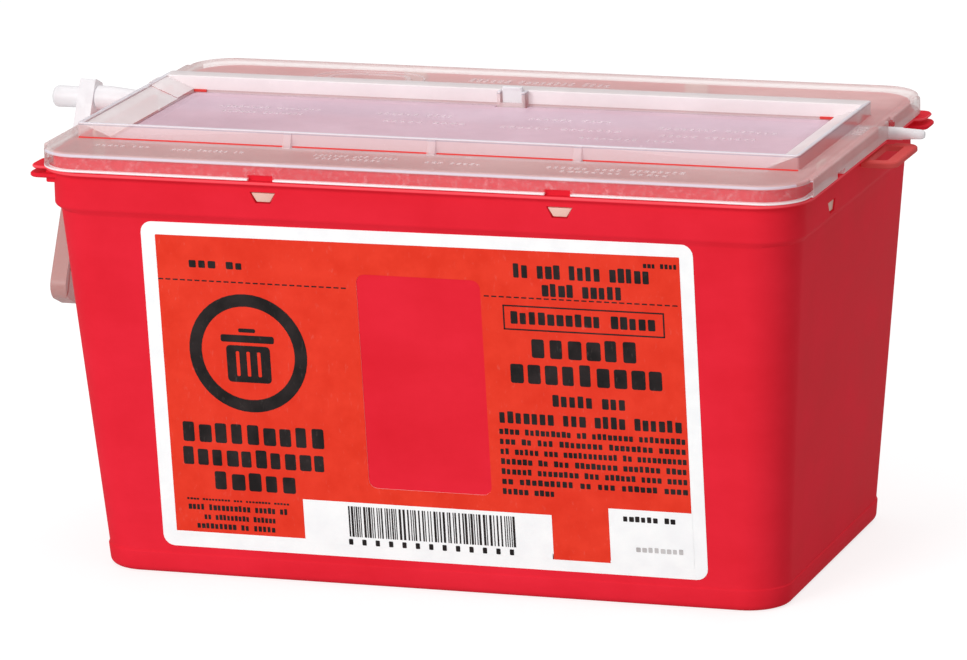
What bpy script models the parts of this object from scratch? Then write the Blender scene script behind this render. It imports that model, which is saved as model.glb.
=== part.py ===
"""A small sharps container: a tapered red tub, a translucent clip-on lid with a raised frame,
and a drop tray that a side lever turns about a rod under the lid's rear band.

Metres, +Z up, +X to the right, the labelled front towards -Y.
The origin is the centre of the tub's footprint, on the surface it stands on.
"""

import math

import bmesh
import bpy
from mathutils import Matrix, Vector

MM = 0.001

# Clearances
GAP = 0.3 * MM  # between solids that rest on or sit in each other
RUNNING = 0.1 * MM  # radial clearance of the rod in its bearings

# Lid
LID_WIDTH = 267 * MM
LID_DEPTH = 165 * MM
LID_CORNER = 15 * MM
PLATE = 1.85 * MM
SKIRT_WALL = 1.5 * MM
SKIRT_DEPTH = 6.5 * MM
LID_EDGE = 0.8 * MM
SIDE_PAD = 1.3 * MM  # how far each side stands out, before and behind the rod

# Tub
TUB_HEIGHT = 146.4 * MM
BASE_WIDTH = 241 * MM
BASE_DEPTH = 132 * MM
BASE_CORNER = 14 * MM
FOOT_ROUND = 2.4 * MM
FOOT_BEAD = 0.5 * MM
FOOT_BEAD_HEIGHT = 7.5 * MM
TUB_WALL = 2 * MM
FLOOR = 2.2 * MM
COLLAR_DEPTH = 17.4 * MM  # from the rim to the collar's foot
COLLAR_STEP = 1.5 * MM
COLLAR_WALL = 2.4 * MM
COLLAR_CORNER = 16 * MM  # more than the skirt's inner corner
FLANGE_DROP = 4.4 * MM  # below the rim
FLANGE_THICK = 1.5 * MM
FLANGE_REACH = 2.8 * MM

# Snap hooks of the lid and their windows in the collar
WINDOW_WIDTH = 9.1 * MM
WINDOW_DROP = 12.4 * MM  # from the rim to the window's lower edge
WINDOW_HEIGHT = 4.5 * MM
FRONT_WINDOW_SPREAD = 103.5 * MM
SIDE_WINDOW_Y = -34.5 * MM
SIDE_WINDOW_DROP = 16.8 * MM
SIDE_WINDOW_HEIGHT = 4.5 * MM
WINDOW_SKIN = 1 * MM
HOOK_THICK = 1.6 * MM
NOTCH_HEIGHT = 2.2 * MM

# Lugs on the collar
LOOP_REACH = 12.9 * MM
LOOP_LENGTH = 32 * MM
LOOP_Y = 15 * MM
LOOP_BAR = 4.4 * MM
LOOP_THICK = 2 * MM
LOOP_DROP = 6.7 * MM
FIN_REACH = 6.4 * MM
FIN_STEP = 0.8 * MM  # how much further the lower fin reaches
FIN_LENGTH = 14 * MM
FIN_Y = 67 * MM
FIN_THICK = 1.2 * MM
FIN_SPACING = 2.7 * MM

# Raised frame round the entry, and the opening inside it
FRAME_INSET = 6.7 * MM  # from each side of the lid
FRAME_FRONT = -56.5 * MM
FRAME_REAR = 33 * MM
BEAM_WIDTH = 7.8 * MM  # the frame's rear side, a hollow beam over the rod
FRAME_WALL = 1.5 * MM
FRAME_HEIGHT = 5 * MM
FRAME_RIB_SPACING = 51 * MM
FRAME_RIB_WIDTH = 3 * MM
FRAME_RIB_OUT = 2.5 * MM  # at its foot
FRAME_RIB_OUT_TOP = 0.4 * MM
OPENING_INSET = 18 * MM  # from each side of the lid

# Rod, its bearings and the tray
ROD_Y = 29 * MM
ROD_DROP = 3 * MM  # below the rim
ROD_RADIUS = 2.2 * MM  # of the journals and the right stub
ROD_CORE_RADIUS = 1.4 * MM  # of the stretch inside the tray's clip
BEARING_WIDTH = 3 * MM
BEARING_WALL = 1.9 * MM
BEARING_INSET = 3.2 * MM  # from the collar's inner face
TRAY_THICK = 1.8 * MM
TRAY_DROP = 0.35 * MM  # tray top below the lid's top
TRAY_GAP = 1.6 * MM
TRAY_REAR_GAP = 1.6 * MM
TRAY_SIDE_GAP = 0.6 * MM
CLIP_WALL = 0.8 * MM
CLIP_MOUTH = 2.2 * MM
LIP_THICK = 1.5 * MM
STUB_LENGTH = 12.4 * MM
STUB_TIP_RADIUS = 1.3 * MM

# Lever on the rod's left end
HUB_REACH = 20.1 * MM  # from the lid's side to the lever's inner face
LEVER_THICK = 5.8 * MM
LEVER_LENGTH = 73 * MM  # from the rod to the lower end
LEVER_END_HALF = 9.5 * MM
LEVER_END_ROUND = 6 * MM
LEVER_HUB_HALF = 3.8 * MM
LEVER_HUB_TOP = 6.1 * MM
LEVER_HUB_ROUND = 1.2 * MM
LEVER_LEAN = math.radians(24)
SHOULDER_RADIUS = 4.4 * MM
SHOULDER_NECK = 3 * MM
SPIGOT_RADIUS = 2 * MM
SPIGOT_LENGTH = 3.6 * MM
THUMB_PIN_RADIUS = 3.8 * MM
THUMB_PIN_LENGTH = 10.3 * MM

# Bearing cover on the lid's left edge
COVER_LENGTH = 9 * MM
COVER_WIDTH = 9 * MM
COVER_HEIGHT = 2.4 * MM

# Slopes inside the frame's side walls, and the raised pad at the left rear corner
SLOPE_DROP = 0.6 * MM  # from the frame's top to the upper edge of a slope
SLOPE_EDGE = 0.2 * MM  # height of a slope's lower edge above the plate
PAD_WIDTH = 16 * MM
PAD_RISE = 0.4 * MM

# Lock tab in the frame's rear wall
TAB_X = 2 * MM
TAB_WIDTH = 7.2 * MM
TAB_DEPTH = 2 * MM
TAB_TOP = 6.5 * MM  # above the lid
BRACKET_WALL = 1.2 * MM

# Label on the front wall
LABEL_WIDTH = 193 * MM
LABEL_BOTTOM = 10.3 * MM
LABEL_HEIGHT = 117.4 * MM
LABEL_THICK = 0.3 * MM
LABEL_CORNER = 4 * MM
LABEL_WINDOW_X = 0.8 * MM
LABEL_WINDOW_WIDTH = 43.4 * MM
LABEL_WINDOW_BOTTOM = 25.4 * MM  # above the label's lower edge
LABEL_WINDOW_HEIGHT = 75.8 * MM
LABEL_WINDOW_CORNER = 3 * MM

# Values that follow from the sizes above
COLLAR_BOTTOM = TUB_HEIGHT - COLLAR_DEPTH
FLANGE_TOP = TUB_HEIGHT - FLANGE_DROP
WINDOW_BOTTOM = TUB_HEIGHT - WINDOW_DROP
SIDE_WINDOW_BOTTOM = TUB_HEIGHT - SIDE_WINDOW_DROP
LOOP_TOP = TUB_HEIGHT - LOOP_DROP
ROD_Z = TUB_HEIGHT - ROD_DROP
HUB_PLANE = -LID_WIDTH / 2 - HUB_REACH
FRAME_WIDTH = LID_WIDTH - 2 * FRAME_INSET
OPENING_WIDTH = LID_WIDTH - 2 * OPENING_INSET
PLATE_UNDER = TUB_HEIGHT + GAP
PLATE_TOP = PLATE_UNDER + PLATE
SKIRT_BOTTOM = PLATE_TOP - SKIRT_DEPTH
COLLAR_X = LID_WIDTH / 2 - SKIRT_WALL - 2 * GAP
COLLAR_Y = LID_DEPTH / 2 - SKIRT_WALL - 2 * GAP
SHOULDER_X = COLLAR_X - COLLAR_STEP
SHOULDER_Y = COLLAR_Y - COLLAR_STEP
TRAY_TOP = PLATE_TOP - TRAY_DROP
TRAY_UNDER = TRAY_TOP - TRAY_THICK
OPENING_FRONT = FRAME_FRONT + FRAME_WALL
OPENING_REAR = FRAME_REAR - BEAM_WIDTH
TRAY_FRONT = OPENING_FRONT + TRAY_GAP
TRAY_REAR = OPENING_REAR - TRAY_REAR_GAP
TRAY_HALF = OPENING_WIDTH / 2 - TRAY_SIDE_GAP
BEARING_X = COLLAR_X - COLLAR_WALL - BEARING_INSET
TAB_Y = OPENING_REAR - GAP - TAB_DEPTH / 2
POCKET_HALF = TAB_WIDTH / 2 + GAP + BRACKET_WALL
POCKET_FRONT = TAB_Y - TAB_DEPTH / 2 - GAP - BRACKET_WALL

CORNER_STEPS = 8
ROUND_STEPS = 28


def start_scene():
    for old in list(bpy.data.objects):
        bpy.data.objects.remove(old, do_unlink=True)
    parts = bpy.data.collections.new("sharps_container")
    cutters = bpy.data.collections.new("cutters")
    bpy.context.scene.collection.children.link(parts)
    bpy.context.scene.collection.children.link(cutters)
    cutters.hide_render = True
    return parts, cutters


PARTS, CUTTERS = start_scene()


def material(name, colour, roughness, metallic=0.0, transmission=0.0):
    made = bpy.data.materials.new(name)
    made.use_nodes = True
    shader = made.node_tree.nodes["Principled BSDF"]
    shader.inputs["Base Color"].default_value = (*colour, 1)
    shader.inputs["Roughness"].default_value = roughness
    shader.inputs["Metallic"].default_value = metallic
    shader.inputs["Transmission Weight"].default_value = transmission
    return made


def make_object(bm, name, made_of=None, smooth_angle=math.radians(35)):
    """Turns a bmesh into a part, or into a hidden cutter when it is made of nothing."""
    bmesh.ops.recalc_face_normals(bm, faces=bm.faces)
    mesh = bpy.data.meshes.new(name)
    bm.to_mesh(mesh)
    bm.free()
    obj = bpy.data.objects.new(name, mesh)
    if made_of is None:
        CUTTERS.objects.link(obj)
        obj.hide_render = True
        obj.display_type = "WIRE"
        return obj
    PARTS.objects.link(obj)
    mesh.materials.append(made_of)
    mesh.shade_smooth()
    mesh.set_sharp_from_angle(angle=smooth_angle)
    return obj


def boolean(obj, other, operation):
    modifier = obj.modifiers.new(other.name, "BOOLEAN")
    modifier.operation = operation
    modifier.solver = "EXACT"
    modifier.use_self = True
    modifier.object = other


def ring(half_x, half_y, corner, height):
    """The points of a rounded rectangle at one height, anticlockwise from above."""
    points = []
    for turn, (side_x, side_y) in enumerate(((1, 1), (-1, 1), (-1, -1), (1, -1))):
        centre_x = side_x * (half_x - corner)
        centre_y = side_y * (half_y - corner)
        for step in range(CORNER_STEPS + 1):
            angle = (turn + step / CORNER_STEPS) * math.pi / 2
            points.append((centre_x + corner * math.cos(angle), centre_y + corner * math.sin(angle), height))
    return points


def loft(rings):
    """A closed body through rings of equal point counts, with a flat cap on each end."""
    bm = bmesh.new()
    rows = [[bm.verts.new(point) for point in points] for points in rings]
    for low, high in zip(rows, rows[1:]):
        count = len(low)
        for index in range(count):
            after = (index + 1) % count
            bm.faces.new((low[index], low[after], high[after], high[index]))
    bm.faces.new(rows[0][::-1])
    bm.faces.new(rows[-1])
    return bm


def add_box(bm, low, high, round_radius=0.0, round_axis=2):
    """Adds a box between two corners, its four edges along one axis rounded if asked."""
    size = [high[axis] - low[axis] for axis in range(3)]
    centre = [(high[axis] + low[axis]) / 2 for axis in range(3)]
    place = Matrix.Translation(centre) @ Matrix.Diagonal((*size, 1))
    made = bmesh.ops.create_cube(bm, size=1, matrix=place)
    if round_radius:
        corners = set(made["verts"])
        along = [
            edge
            for edge in bm.edges
            if corners.issuperset(edge.verts)
            and abs(edge.verts[0].co[round_axis] - edge.verts[1].co[round_axis]) > 0.9 * size[round_axis]
        ]
        bmesh.ops.bevel(
            bm, geom=along, offset=round_radius, segments=4, profile=0.5, affect="EDGES", clamp_overlap=True
        )


def turned(profile, steps=ROUND_STEPS):
    """A body turned about the X axis through the rod, from (x, radius) pairs that run left to right."""
    bm = bmesh.new()
    rows = []
    for x, radius in profile:
        row = []
        for step in range(steps):
            angle = 2 * math.pi * step / steps
            row.append(bm.verts.new((x, ROD_Y + radius * math.cos(angle), ROD_Z + radius * math.sin(angle))))
        rows.append(row)
    for low, high in zip(rows, rows[1:]):
        for index in range(steps):
            after = (index + 1) % steps
            bm.faces.new((low[index], low[after], high[after], high[index]))
    bm.faces.new(rows[0][::-1])
    bm.faces.new(rows[-1])
    return bm


def half_turns():
    """The lid and the rim are the same after half a turn about the vertical."""
    return (1, -1)


def hook_places():
    """(centre x, centre y, outward direction, window bottom, window height) of each hook."""
    places = []
    for side in half_turns():
        for spread in (-FRONT_WINDOW_SPREAD / 2, FRONT_WINDOW_SPREAD / 2):
            places.append((spread, -side * COLLAR_Y, (0, -side), WINDOW_BOTTOM, WINDOW_HEIGHT))
        places.append((side * COLLAR_X, SIDE_WINDOW_Y, (side, 0), SIDE_WINDOW_BOTTOM, SIDE_WINDOW_HEIGHT))
    return places


def add_hook_box(bm, place, inner, outer, half_width, low, high):
    """Adds a box at a hook, reaching from inner to outer inside the collar's outer face."""
    centre_x, centre_y, (out_x, out_y), _, _ = place
    if out_y:
        ends = sorted((centre_y - out_y * inner, centre_y - out_y * outer))
        add_box(bm, (centre_x - half_width, ends[0], low), (centre_x + half_width, ends[1], high))
    else:
        ends = sorted((centre_x - out_x * inner, centre_x - out_x * outer))
        add_box(bm, (ends[0], centre_y - half_width, low), (ends[1], centre_y + half_width, high))


def wall_half(base, shoulder, height):
    return base + (shoulder - base) * height / COLLAR_BOTTOM


def wall_ring(height, inset=0.0):
    """The tub wall's outer outline at a height, moved inwards by inset."""
    corner = wall_half(BASE_CORNER, COLLAR_CORNER, height)
    half_x = wall_half(BASE_WIDTH / 2, SHOULDER_X, height)
    half_y = wall_half(BASE_DEPTH / 2, SHOULDER_Y, height)
    return ring(half_x - inset, half_y - inset, max(corner - inset, MM), height)


def collar_ring(height, inset=0.0):
    return ring(COLLAR_X - inset, COLLAR_Y - inset, COLLAR_CORNER - inset, height)


def tub_rings():
    rings = []
    for step in range(4):
        angle = step / 3 * math.pi / 2
        inset = FOOT_ROUND * (1 - math.sin(angle)) - FOOT_BEAD
        rings.append(wall_ring(FOOT_ROUND * (1 - math.cos(angle)), inset))
    rings.append(wall_ring(FOOT_BEAD_HEIGHT, -FOOT_BEAD))
    rings.append(wall_ring(FOOT_BEAD_HEIGHT + FOOT_BEAD))
    rings.append(wall_ring(COLLAR_BOTTOM - COLLAR_STEP))
    rings.append(collar_ring(COLLAR_BOTTOM))
    flange_bottom = FLANGE_TOP - FLANGE_THICK
    rings.append(collar_ring(flange_bottom))
    rings.append(collar_ring(flange_bottom + GAP, -FLANGE_REACH))
    rings.append(collar_ring(FLANGE_TOP, -FLANGE_REACH))
    rings.append(collar_ring(FLANGE_TOP))
    rings.append(collar_ring(TUB_HEIGHT))
    rings.append(collar_ring(TUB_HEIGHT, COLLAR_WALL))
    rings.append(collar_ring(COLLAR_BOTTOM, COLLAR_WALL))
    rings.append(wall_ring(COLLAR_BOTTOM - 2 * COLLAR_STEP, TUB_WALL))
    floor_round = FOOT_ROUND - GAP
    for step in range(4):
        angle = step / 3 * math.pi / 2
        inset = TUB_WALL + floor_round * (1 - math.cos(angle))
        rings.append(wall_ring(FLOOR + floor_round * (1 - math.sin(angle)), inset))
    return rings


def tub_lugs():
    """The slotted loop and the two fins of one rim side, and the same after half a turn."""
    bm = bmesh.new()
    for side in half_turns():
        loop_low = LOOP_Y - LOOP_LENGTH / 2
        loop_high = LOOP_Y + LOOP_LENGTH / 2
        root = COLLAR_X - COLLAR_WALL / 2
        ends = sorted((side * root, side * (COLLAR_X + LOOP_REACH)))
        edges = sorted((side * loop_low, side * loop_high))
        add_box(bm, (ends[0], edges[0], LOOP_TOP - LOOP_THICK), (ends[1], edges[1], LOOP_TOP), LOOP_BAR)
    return bm


def tub_fins():
    """Two short fins one above the other at a corner of the rim, joined by a web, and their twins."""
    bm = bmesh.new()
    for side in half_turns():
        edges = sorted((side * (FIN_Y - FIN_LENGTH / 2), side * (FIN_Y + FIN_LENGTH / 2)))
        root = COLLAR_X - COLLAR_CORNER / 2
        for level in range(2):
            top = FLANGE_TOP - level * FIN_SPACING
            ends = sorted((side * root, side * (COLLAR_X + FIN_REACH + level * FIN_STEP)))
            add_box(bm, (ends[0], edges[0], top - FIN_THICK), (ends[1], edges[1], top), 2 * MM)
    return bm


def fin_webs():
    bm = bmesh.new()
    for side in half_turns():
        edges = sorted((side * (FIN_Y - FIN_LENGTH / 2 + MM), side * (FIN_Y + FIN_LENGTH / 2 - 2 * MM)))
        ends = sorted((side * (COLLAR_X - COLLAR_CORNER / 2), side * (COLLAR_X + FIN_REACH / 3)))
        low = FLANGE_TOP - FIN_SPACING - FIN_THICK / 2
        add_box(bm, (ends[0], edges[0], low), (ends[1], edges[1], FLANGE_TOP - FIN_THICK / 2))
    return bm


def tub_cavity_cutter():
    """Trims the roots of the lugs back to the inside face of the collar."""
    low = COLLAR_BOTTOM + MM
    return loft([collar_ring(low, COLLAR_WALL), collar_ring(TUB_HEIGHT + MM, COLLAR_WALL)])


def tub_cutters():
    """Loop slots that stop under the flange, hook windows and the two rod notches."""
    bm = bmesh.new()
    for side in half_turns():
        slot_ends = sorted((side * (COLLAR_X + LOOP_BAR / 2), side * (COLLAR_X + LOOP_REACH - LOOP_BAR)))
        slot_low = LOOP_Y - LOOP_LENGTH / 2 + LOOP_BAR
        slot_high = LOOP_Y + LOOP_LENGTH / 2 - LOOP_BAR
        edges = sorted((side * slot_low, side * slot_high))
        low = LOOP_TOP - LOOP_THICK - MM
        add_box(bm, (slot_ends[0], edges[0], low), (slot_ends[1], edges[1], LOOP_TOP + GAP / 2), MM)
        notch = SHOULDER_NECK + 4 * GAP
        ends = sorted((side * (COLLAR_X - COLLAR_WALL - MM), side * (COLLAR_X + FLANGE_REACH + MM)))
        add_box(bm, (ends[0], ROD_Y - notch, ROD_Z - notch), (ends[1], ROD_Y + notch, TUB_HEIGHT + MM))
    for place in hook_places():
        low = place[3]
        add_hook_box(bm, place, COLLAR_WALL + MM, -MM, WINDOW_WIDTH / 2, low, low + place[4])
    return bm


def tub_reliefs():
    """Grooves inside the collar above each window, through which the hooks' noses go down."""
    bm = bmesh.new()
    for place in hook_places():
        half_width = WINDOW_WIDTH / 2 + GAP
        low = place[3] + GAP
        add_hook_box(bm, place, COLLAR_WALL + MM, WINDOW_SKIN, half_width, low, TUB_HEIGHT + MM)
    return bm


def container_tub(red):
    tub = make_object(loft(tub_rings()), "container_tub", red)
    boolean(tub, make_object(tub_lugs(), "loop_lugs"), "UNION")
    boolean(tub, make_object(tub_fins(), "corner_fins"), "UNION")
    boolean(tub, make_object(fin_webs(), "fin_webs"), "UNION")
    boolean(tub, make_object(tub_cavity_cutter(), "collar_inside"), "DIFFERENCE")
    boolean(tub, make_object(tub_cutters(), "windows_and_notches"), "DIFFERENCE")
    boolean(tub, make_object(tub_reliefs(), "hook_reliefs"), "DIFFERENCE")
    return tub


def lid_ring(height, inset=0.0):
    return ring(LID_WIDTH / 2 - inset, LID_DEPTH / 2 - inset, LID_CORNER - inset, height)


def lid_shell():
    rings = [lid_ring(PLATE_UNDER, SKIRT_WALL), lid_ring(SKIRT_BOTTOM, SKIRT_WALL), lid_ring(SKIRT_BOTTOM)]
    for step in range(4):
        angle = step / 3 * math.pi / 2
        height = PLATE_TOP - LID_EDGE * (1 - math.sin(angle))
        rings.append(lid_ring(height, LID_EDGE * (1 - math.cos(angle))))
    return loft(rings)


def frame_walls():
    """The raised frame as a solid block. The entry cutter hollows it."""
    bm = bmesh.new()
    low = (-FRAME_WIDTH / 2, FRAME_FRONT, PLATE_TOP - PLATE / 2)
    add_box(bm, low, (FRAME_WIDTH / 2, FRAME_REAR, PLATE_TOP + FRAME_HEIGHT), MM)
    return bm


def frame_inside():
    bm = bmesh.new()
    half = FRAME_WIDTH / 2 - FRAME_WALL
    top = PLATE_TOP + FRAME_HEIGHT + MM
    low = (-half, FRAME_FRONT + FRAME_WALL, PLATE_TOP)
    add_box(bm, low, (half, OPENING_REAR, top), MM / 2)
    return bm


def beam_hollow():
    """The space inside the frame's rear beam, open below."""
    bm = bmesh.new()
    half = FRAME_WIDTH / 2 - 2 * FRAME_WALL
    low = (-half, OPENING_REAR + BRACKET_WALL, PLATE_UNDER - MM)
    add_box(bm, low, (half, FRAME_REAR - FRAME_WALL, PLATE_TOP + FRAME_HEIGHT - FRAME_WALL))
    return bm


def side_slopes():
    """Slopes from the top of the frame's side walls down to the edges of the opening."""
    bm = bmesh.new()
    front = FRAME_FRONT + FRAME_WALL / 2
    rear = OPENING_REAR + BRACKET_WALL / 2
    top = PLATE_TOP + FRAME_HEIGHT - SLOPE_DROP
    for side in (1, -1):
        ends = sorted((side * (FRAME_WIDTH / 2 - FRAME_WALL / 2), side * OPENING_WIDTH / 2))
        add_box(bm, (ends[0], front, PLATE_TOP - PLATE / 2), (ends[1], rear, top))
    for vert in bm.verts:
        if abs(vert.co.x) < FRAME_WIDTH / 2 - FRAME_WALL and vert.co.z > PLATE_TOP:
            vert.co.z = PLATE_TOP + SLOPE_EDGE
    return bm


def corner_pad():
    """A raised pad on the left slope, next to the rear beam."""
    bm = bmesh.new()
    left = -FRAME_WIDTH / 2 + FRAME_WALL / 2
    right = -OPENING_WIDTH / 2
    front = OPENING_REAR - PAD_WIDTH
    rear = OPENING_REAR + BRACKET_WALL / 2
    top = PLATE_TOP + FRAME_HEIGHT - SLOPE_DROP + PAD_RISE
    add_box(bm, (left, front, PLATE_TOP - PLATE / 2), (right, rear, top))
    for vert in bm.verts:
        if vert.co.x > right - GAP and vert.co.z > PLATE_TOP:
            vert.co.z = PLATE_TOP + SLOPE_EDGE + PAD_RISE
    return bm


def entry_opening():
    bm = bmesh.new()
    half = OPENING_WIDTH / 2
    low = (-half, OPENING_FRONT, PLATE_UNDER - MM)
    add_box(bm, low, (half, OPENING_REAR, PLATE_TOP + FRAME_HEIGHT / 2), MM)
    return bm


def lid_trim():
    """Side pads and the cover over the left end of the rod."""
    bm = bmesh.new()
    for side in (1, -1):
        ends = sorted((side * (LID_WIDTH / 2 - SKIRT_WALL / 2), side * (LID_WIDTH / 2 + SIDE_PAD)))
        reach = LID_DEPTH / 2 - LID_CORNER
        top = PLATE_TOP - LID_EDGE / 2
        add_box(bm, (ends[0], -reach, SKIRT_BOTTOM), (ends[1], ROD_Y - ROD_RADIUS, top))
        add_box(bm, (ends[0], ROD_Y + ROD_RADIUS, SKIRT_BOTTOM), (ends[1], reach, top))
    left = -LID_WIDTH / 2 + LID_EDGE
    low = (left, ROD_Y - COVER_WIDTH / 2, PLATE_TOP - PLATE / 2)
    high = (left + COVER_LENGTH, ROD_Y + COVER_WIDTH / 2, PLATE_TOP + COVER_HEIGHT)
    add_box(bm, low, high, 2 * MM, 0)
    return bm


def frame_ribs():
    """Three gussets against the frame's front wall, deeper at the foot."""
    bm = bmesh.new()
    top = PLATE_TOP + FRAME_HEIGHT - MM / 4
    for index in (-1, 0, 1):
        middle = index * FRAME_RIB_SPACING
        low = (middle - FRAME_RIB_WIDTH / 2, FRAME_FRONT - FRAME_RIB_OUT, PLATE_TOP - PLATE / 2)
        add_box(bm, low, (middle + FRAME_RIB_WIDTH / 2, FRAME_FRONT + FRAME_WALL / 2, top))
    for vert in bm.verts:
        if vert.co.y < FRAME_FRONT and vert.co.z > PLATE_TOP:
            vert.co.y = FRAME_FRONT - FRAME_RIB_OUT_TOP
    return bm


def tab_bracket():
    """The pocket in front of the rear beam that guides the lock tab."""
    bm = bmesh.new()
    low = (TAB_X - POCKET_HALF, POCKET_FRONT, PLATE_UNDER)
    add_box(bm, low, (TAB_X + POCKET_HALF, OPENING_REAR + BRACKET_WALL / 2, PLATE_TOP + FRAME_HEIGHT))
    return bm


def tab_slot():
    bm = bmesh.new()
    half = TAB_WIDTH / 2 + GAP
    low = (TAB_X - half, TAB_Y - TAB_DEPTH / 2 - GAP, PLATE_UNDER - MM)
    add_box(bm, low, (TAB_X + half, TAB_Y + TAB_DEPTH / 2 + GAP, PLATE_TOP + FRAME_HEIGHT + MM))
    return bm


def tab_face_slot():
    """Opens the front of the bracket, so that the tab shows between its two cheeks."""
    bm = bmesh.new()
    half = TAB_WIDTH / 2 + GAP
    low = (TAB_X - half, POCKET_FRONT - MM, PLATE_TOP + MM)
    add_box(bm, low, (TAB_X + half, TAB_Y, PLATE_TOP + FRAME_HEIGHT + 2 * MM))
    return bm


def bearings():
    """Two ears under the plate that hold the rod."""
    bm = bmesh.new()
    half = ROD_RADIUS + RUNNING + BEARING_WALL
    for side in (1, -1):
        ends = sorted((side * BEARING_X, side * (BEARING_X + BEARING_WIDTH)))
        low = (ends[0], ROD_Y - half, ROD_Z - half)
        add_box(bm, low, (ends[1], ROD_Y + half, PLATE_UNDER + PLATE / 2))
    return bm


def hook_tongues():
    bm = bmesh.new()
    for place in hook_places():
        inner = COLLAR_WALL + GAP + HOOK_THICK
        half_width = WINDOW_WIDTH / 2 - GAP
        low = place[3] + 2 * GAP
        add_hook_box(bm, place, inner, COLLAR_WALL + GAP, half_width, low, PLATE_UNDER + PLATE / 2)
    return bm


def hook_noses():
    bm = bmesh.new()
    for place in hook_places():
        inner = COLLAR_WALL + GAP + HOOK_THICK / 2
        outer = WINDOW_SKIN + GAP
        low = place[3] + 2 * GAP
        high = place[3] + place[4] - 2 * GAP
        add_hook_box(bm, place, inner, outer, WINDOW_WIDTH / 2 - GAP, low, high)
    return bm


def skirt_notches():
    """Cuts in the skirt for the rod at both sides and above each hook's window."""
    bm = bmesh.new()
    reach = SIDE_PAD + MM
    for side in (1, -1):
        notch = SHOULDER_NECK + 4 * GAP
        ends = sorted((side * (LID_WIDTH / 2 - SKIRT_WALL - GAP), side * (LID_WIDTH / 2 + reach)))
        low = (ends[0], ROD_Y - notch, SKIRT_BOTTOM - MM)
        add_box(bm, low, (ends[1], ROD_Y + notch, ROD_Z + notch - MM))
    for place in hook_places():
        outer = -2 * GAP - SKIRT_WALL - reach
        low = SKIRT_BOTTOM - MM
        add_hook_box(bm, place, -GAP, outer, WINDOW_WIDTH / 2, low, SKIRT_BOTTOM + NOTCH_HEIGHT)
    return bm


def rod_bores():
    radius = (ROD_RADIUS + RUNNING) / math.cos(math.pi / ROUND_STEPS)
    return turned([(-BEARING_X - BEARING_WIDTH - MM, radius), (BEARING_X + BEARING_WIDTH + MM, radius)])


def lid(clear):
    shell = make_object(lid_shell(), "lid", clear)
    boolean(shell, make_object(frame_walls(), "frame_walls"), "UNION")
    boolean(shell, make_object(frame_inside(), "frame_inside"), "DIFFERENCE")
    boolean(shell, make_object(lid_trim(), "lid_trim"), "UNION")
    boolean(shell, make_object(frame_ribs(), "frame_ribs"), "UNION")
    boolean(shell, make_object(side_slopes(), "side_slopes"), "UNION")
    boolean(shell, make_object(corner_pad(), "corner_pad"), "UNION")
    boolean(shell, make_object(entry_opening(), "entry_opening"), "DIFFERENCE")
    boolean(shell, make_object(beam_hollow(), "beam_hollow"), "DIFFERENCE")
    boolean(shell, make_object(tab_bracket(), "tab_bracket"), "UNION")
    boolean(shell, make_object(tab_slot(), "tab_slot"), "DIFFERENCE")
    boolean(shell, make_object(tab_face_slot(), "tab_face_slot"), "DIFFERENCE")
    boolean(shell, make_object(bearings(), "bearing_ears"), "UNION")
    boolean(shell, make_object(rod_bores(), "rod_bores"), "DIFFERENCE")
    boolean(shell, make_object(hook_tongues(), "hook_tongues"), "UNION")
    boolean(shell, make_object(hook_noses(), "hook_noses"), "UNION")
    boolean(shell, make_object(skirt_notches(), "skirt_notches"), "DIFFERENCE")
    return shell


def tray_panel():
    """The floor of the tray with a lip down round its edge."""
    bm = bmesh.new()
    add_box(bm, (-TRAY_HALF, TRAY_FRONT, TRAY_UNDER), (TRAY_HALF, TRAY_REAR, TRAY_TOP), 2 * MM)
    return bm


def tray_web():
    """The web under the tray's rear edge, which reaches back to the rod."""
    bm = bmesh.new()
    half = BEARING_X - 2 * GAP
    web_low = ROD_Z - LIP_THICK / 2
    low = (-half, POCKET_FRONT - 2 * LIP_THICK, web_low)
    add_box(bm, low, (half, ROD_Y, web_low + LIP_THICK))
    low = (-TRAY_HALF + MM, TRAY_REAR - LIP_THICK, ROD_Z)
    add_box(bm, low, (TRAY_HALF - MM, TRAY_REAR, TRAY_UNDER + TRAY_THICK / 2))
    return bm


def clip_barrel():
    half = BEARING_X - 2 * GAP
    radius = ROD_CORE_RADIUS + RUNNING + CLIP_WALL
    return turned([(-half, radius), (half, radius)])


def clip_bore():
    """The bore of the clip and the mouth below it, through which it clips on to the rod."""
    half = BEARING_X + MM
    bm = turned([(-half, ROD_CORE_RADIUS + RUNNING), (half, ROD_CORE_RADIUS + RUNNING)])
    low = (-half, ROD_Y - CLIP_MOUTH / 2, ROD_Z - 2 * ROD_RADIUS)
    add_box(bm, low, (half, ROD_Y + CLIP_MOUTH / 2, ROD_Z))
    return bm


def tab_hole():
    """The hole in the web for the lock tab's foot, and the room for its bracket in the tray's edge."""
    bm = bmesh.new()
    half = TAB_WIDTH / 2 + 2 * GAP
    low = (TAB_X - half, TAB_Y - TAB_DEPTH / 2 - 2 * GAP, ROD_Z - 2 * LIP_THICK)
    add_box(bm, low, (TAB_X + half, TAB_Y + TAB_DEPTH / 2 + 2 * GAP, PLATE_UNDER))
    half = POCKET_HALF + 2 * GAP
    low = (TAB_X - half, POCKET_FRONT - 2 * GAP, ROD_Z + LIP_THICK / 2 + GAP / 2)
    add_box(bm, low, (TAB_X + half, TRAY_REAR + MM, TRAY_TOP + MM))
    return bm


def drop_tray(clear):
    tray = make_object(tray_panel(), "drop_tray", clear)
    boolean(tray, make_object(tray_web(), "tray_web"), "UNION")
    boolean(tray, make_object(clip_barrel(), "tray_clip"), "UNION")
    boolean(tray, make_object(clip_bore(), "clip_bore"), "DIFFERENCE")
    boolean(tray, make_object(tab_hole(), "tab_hole"), "DIFFERENCE")
    return tray


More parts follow.
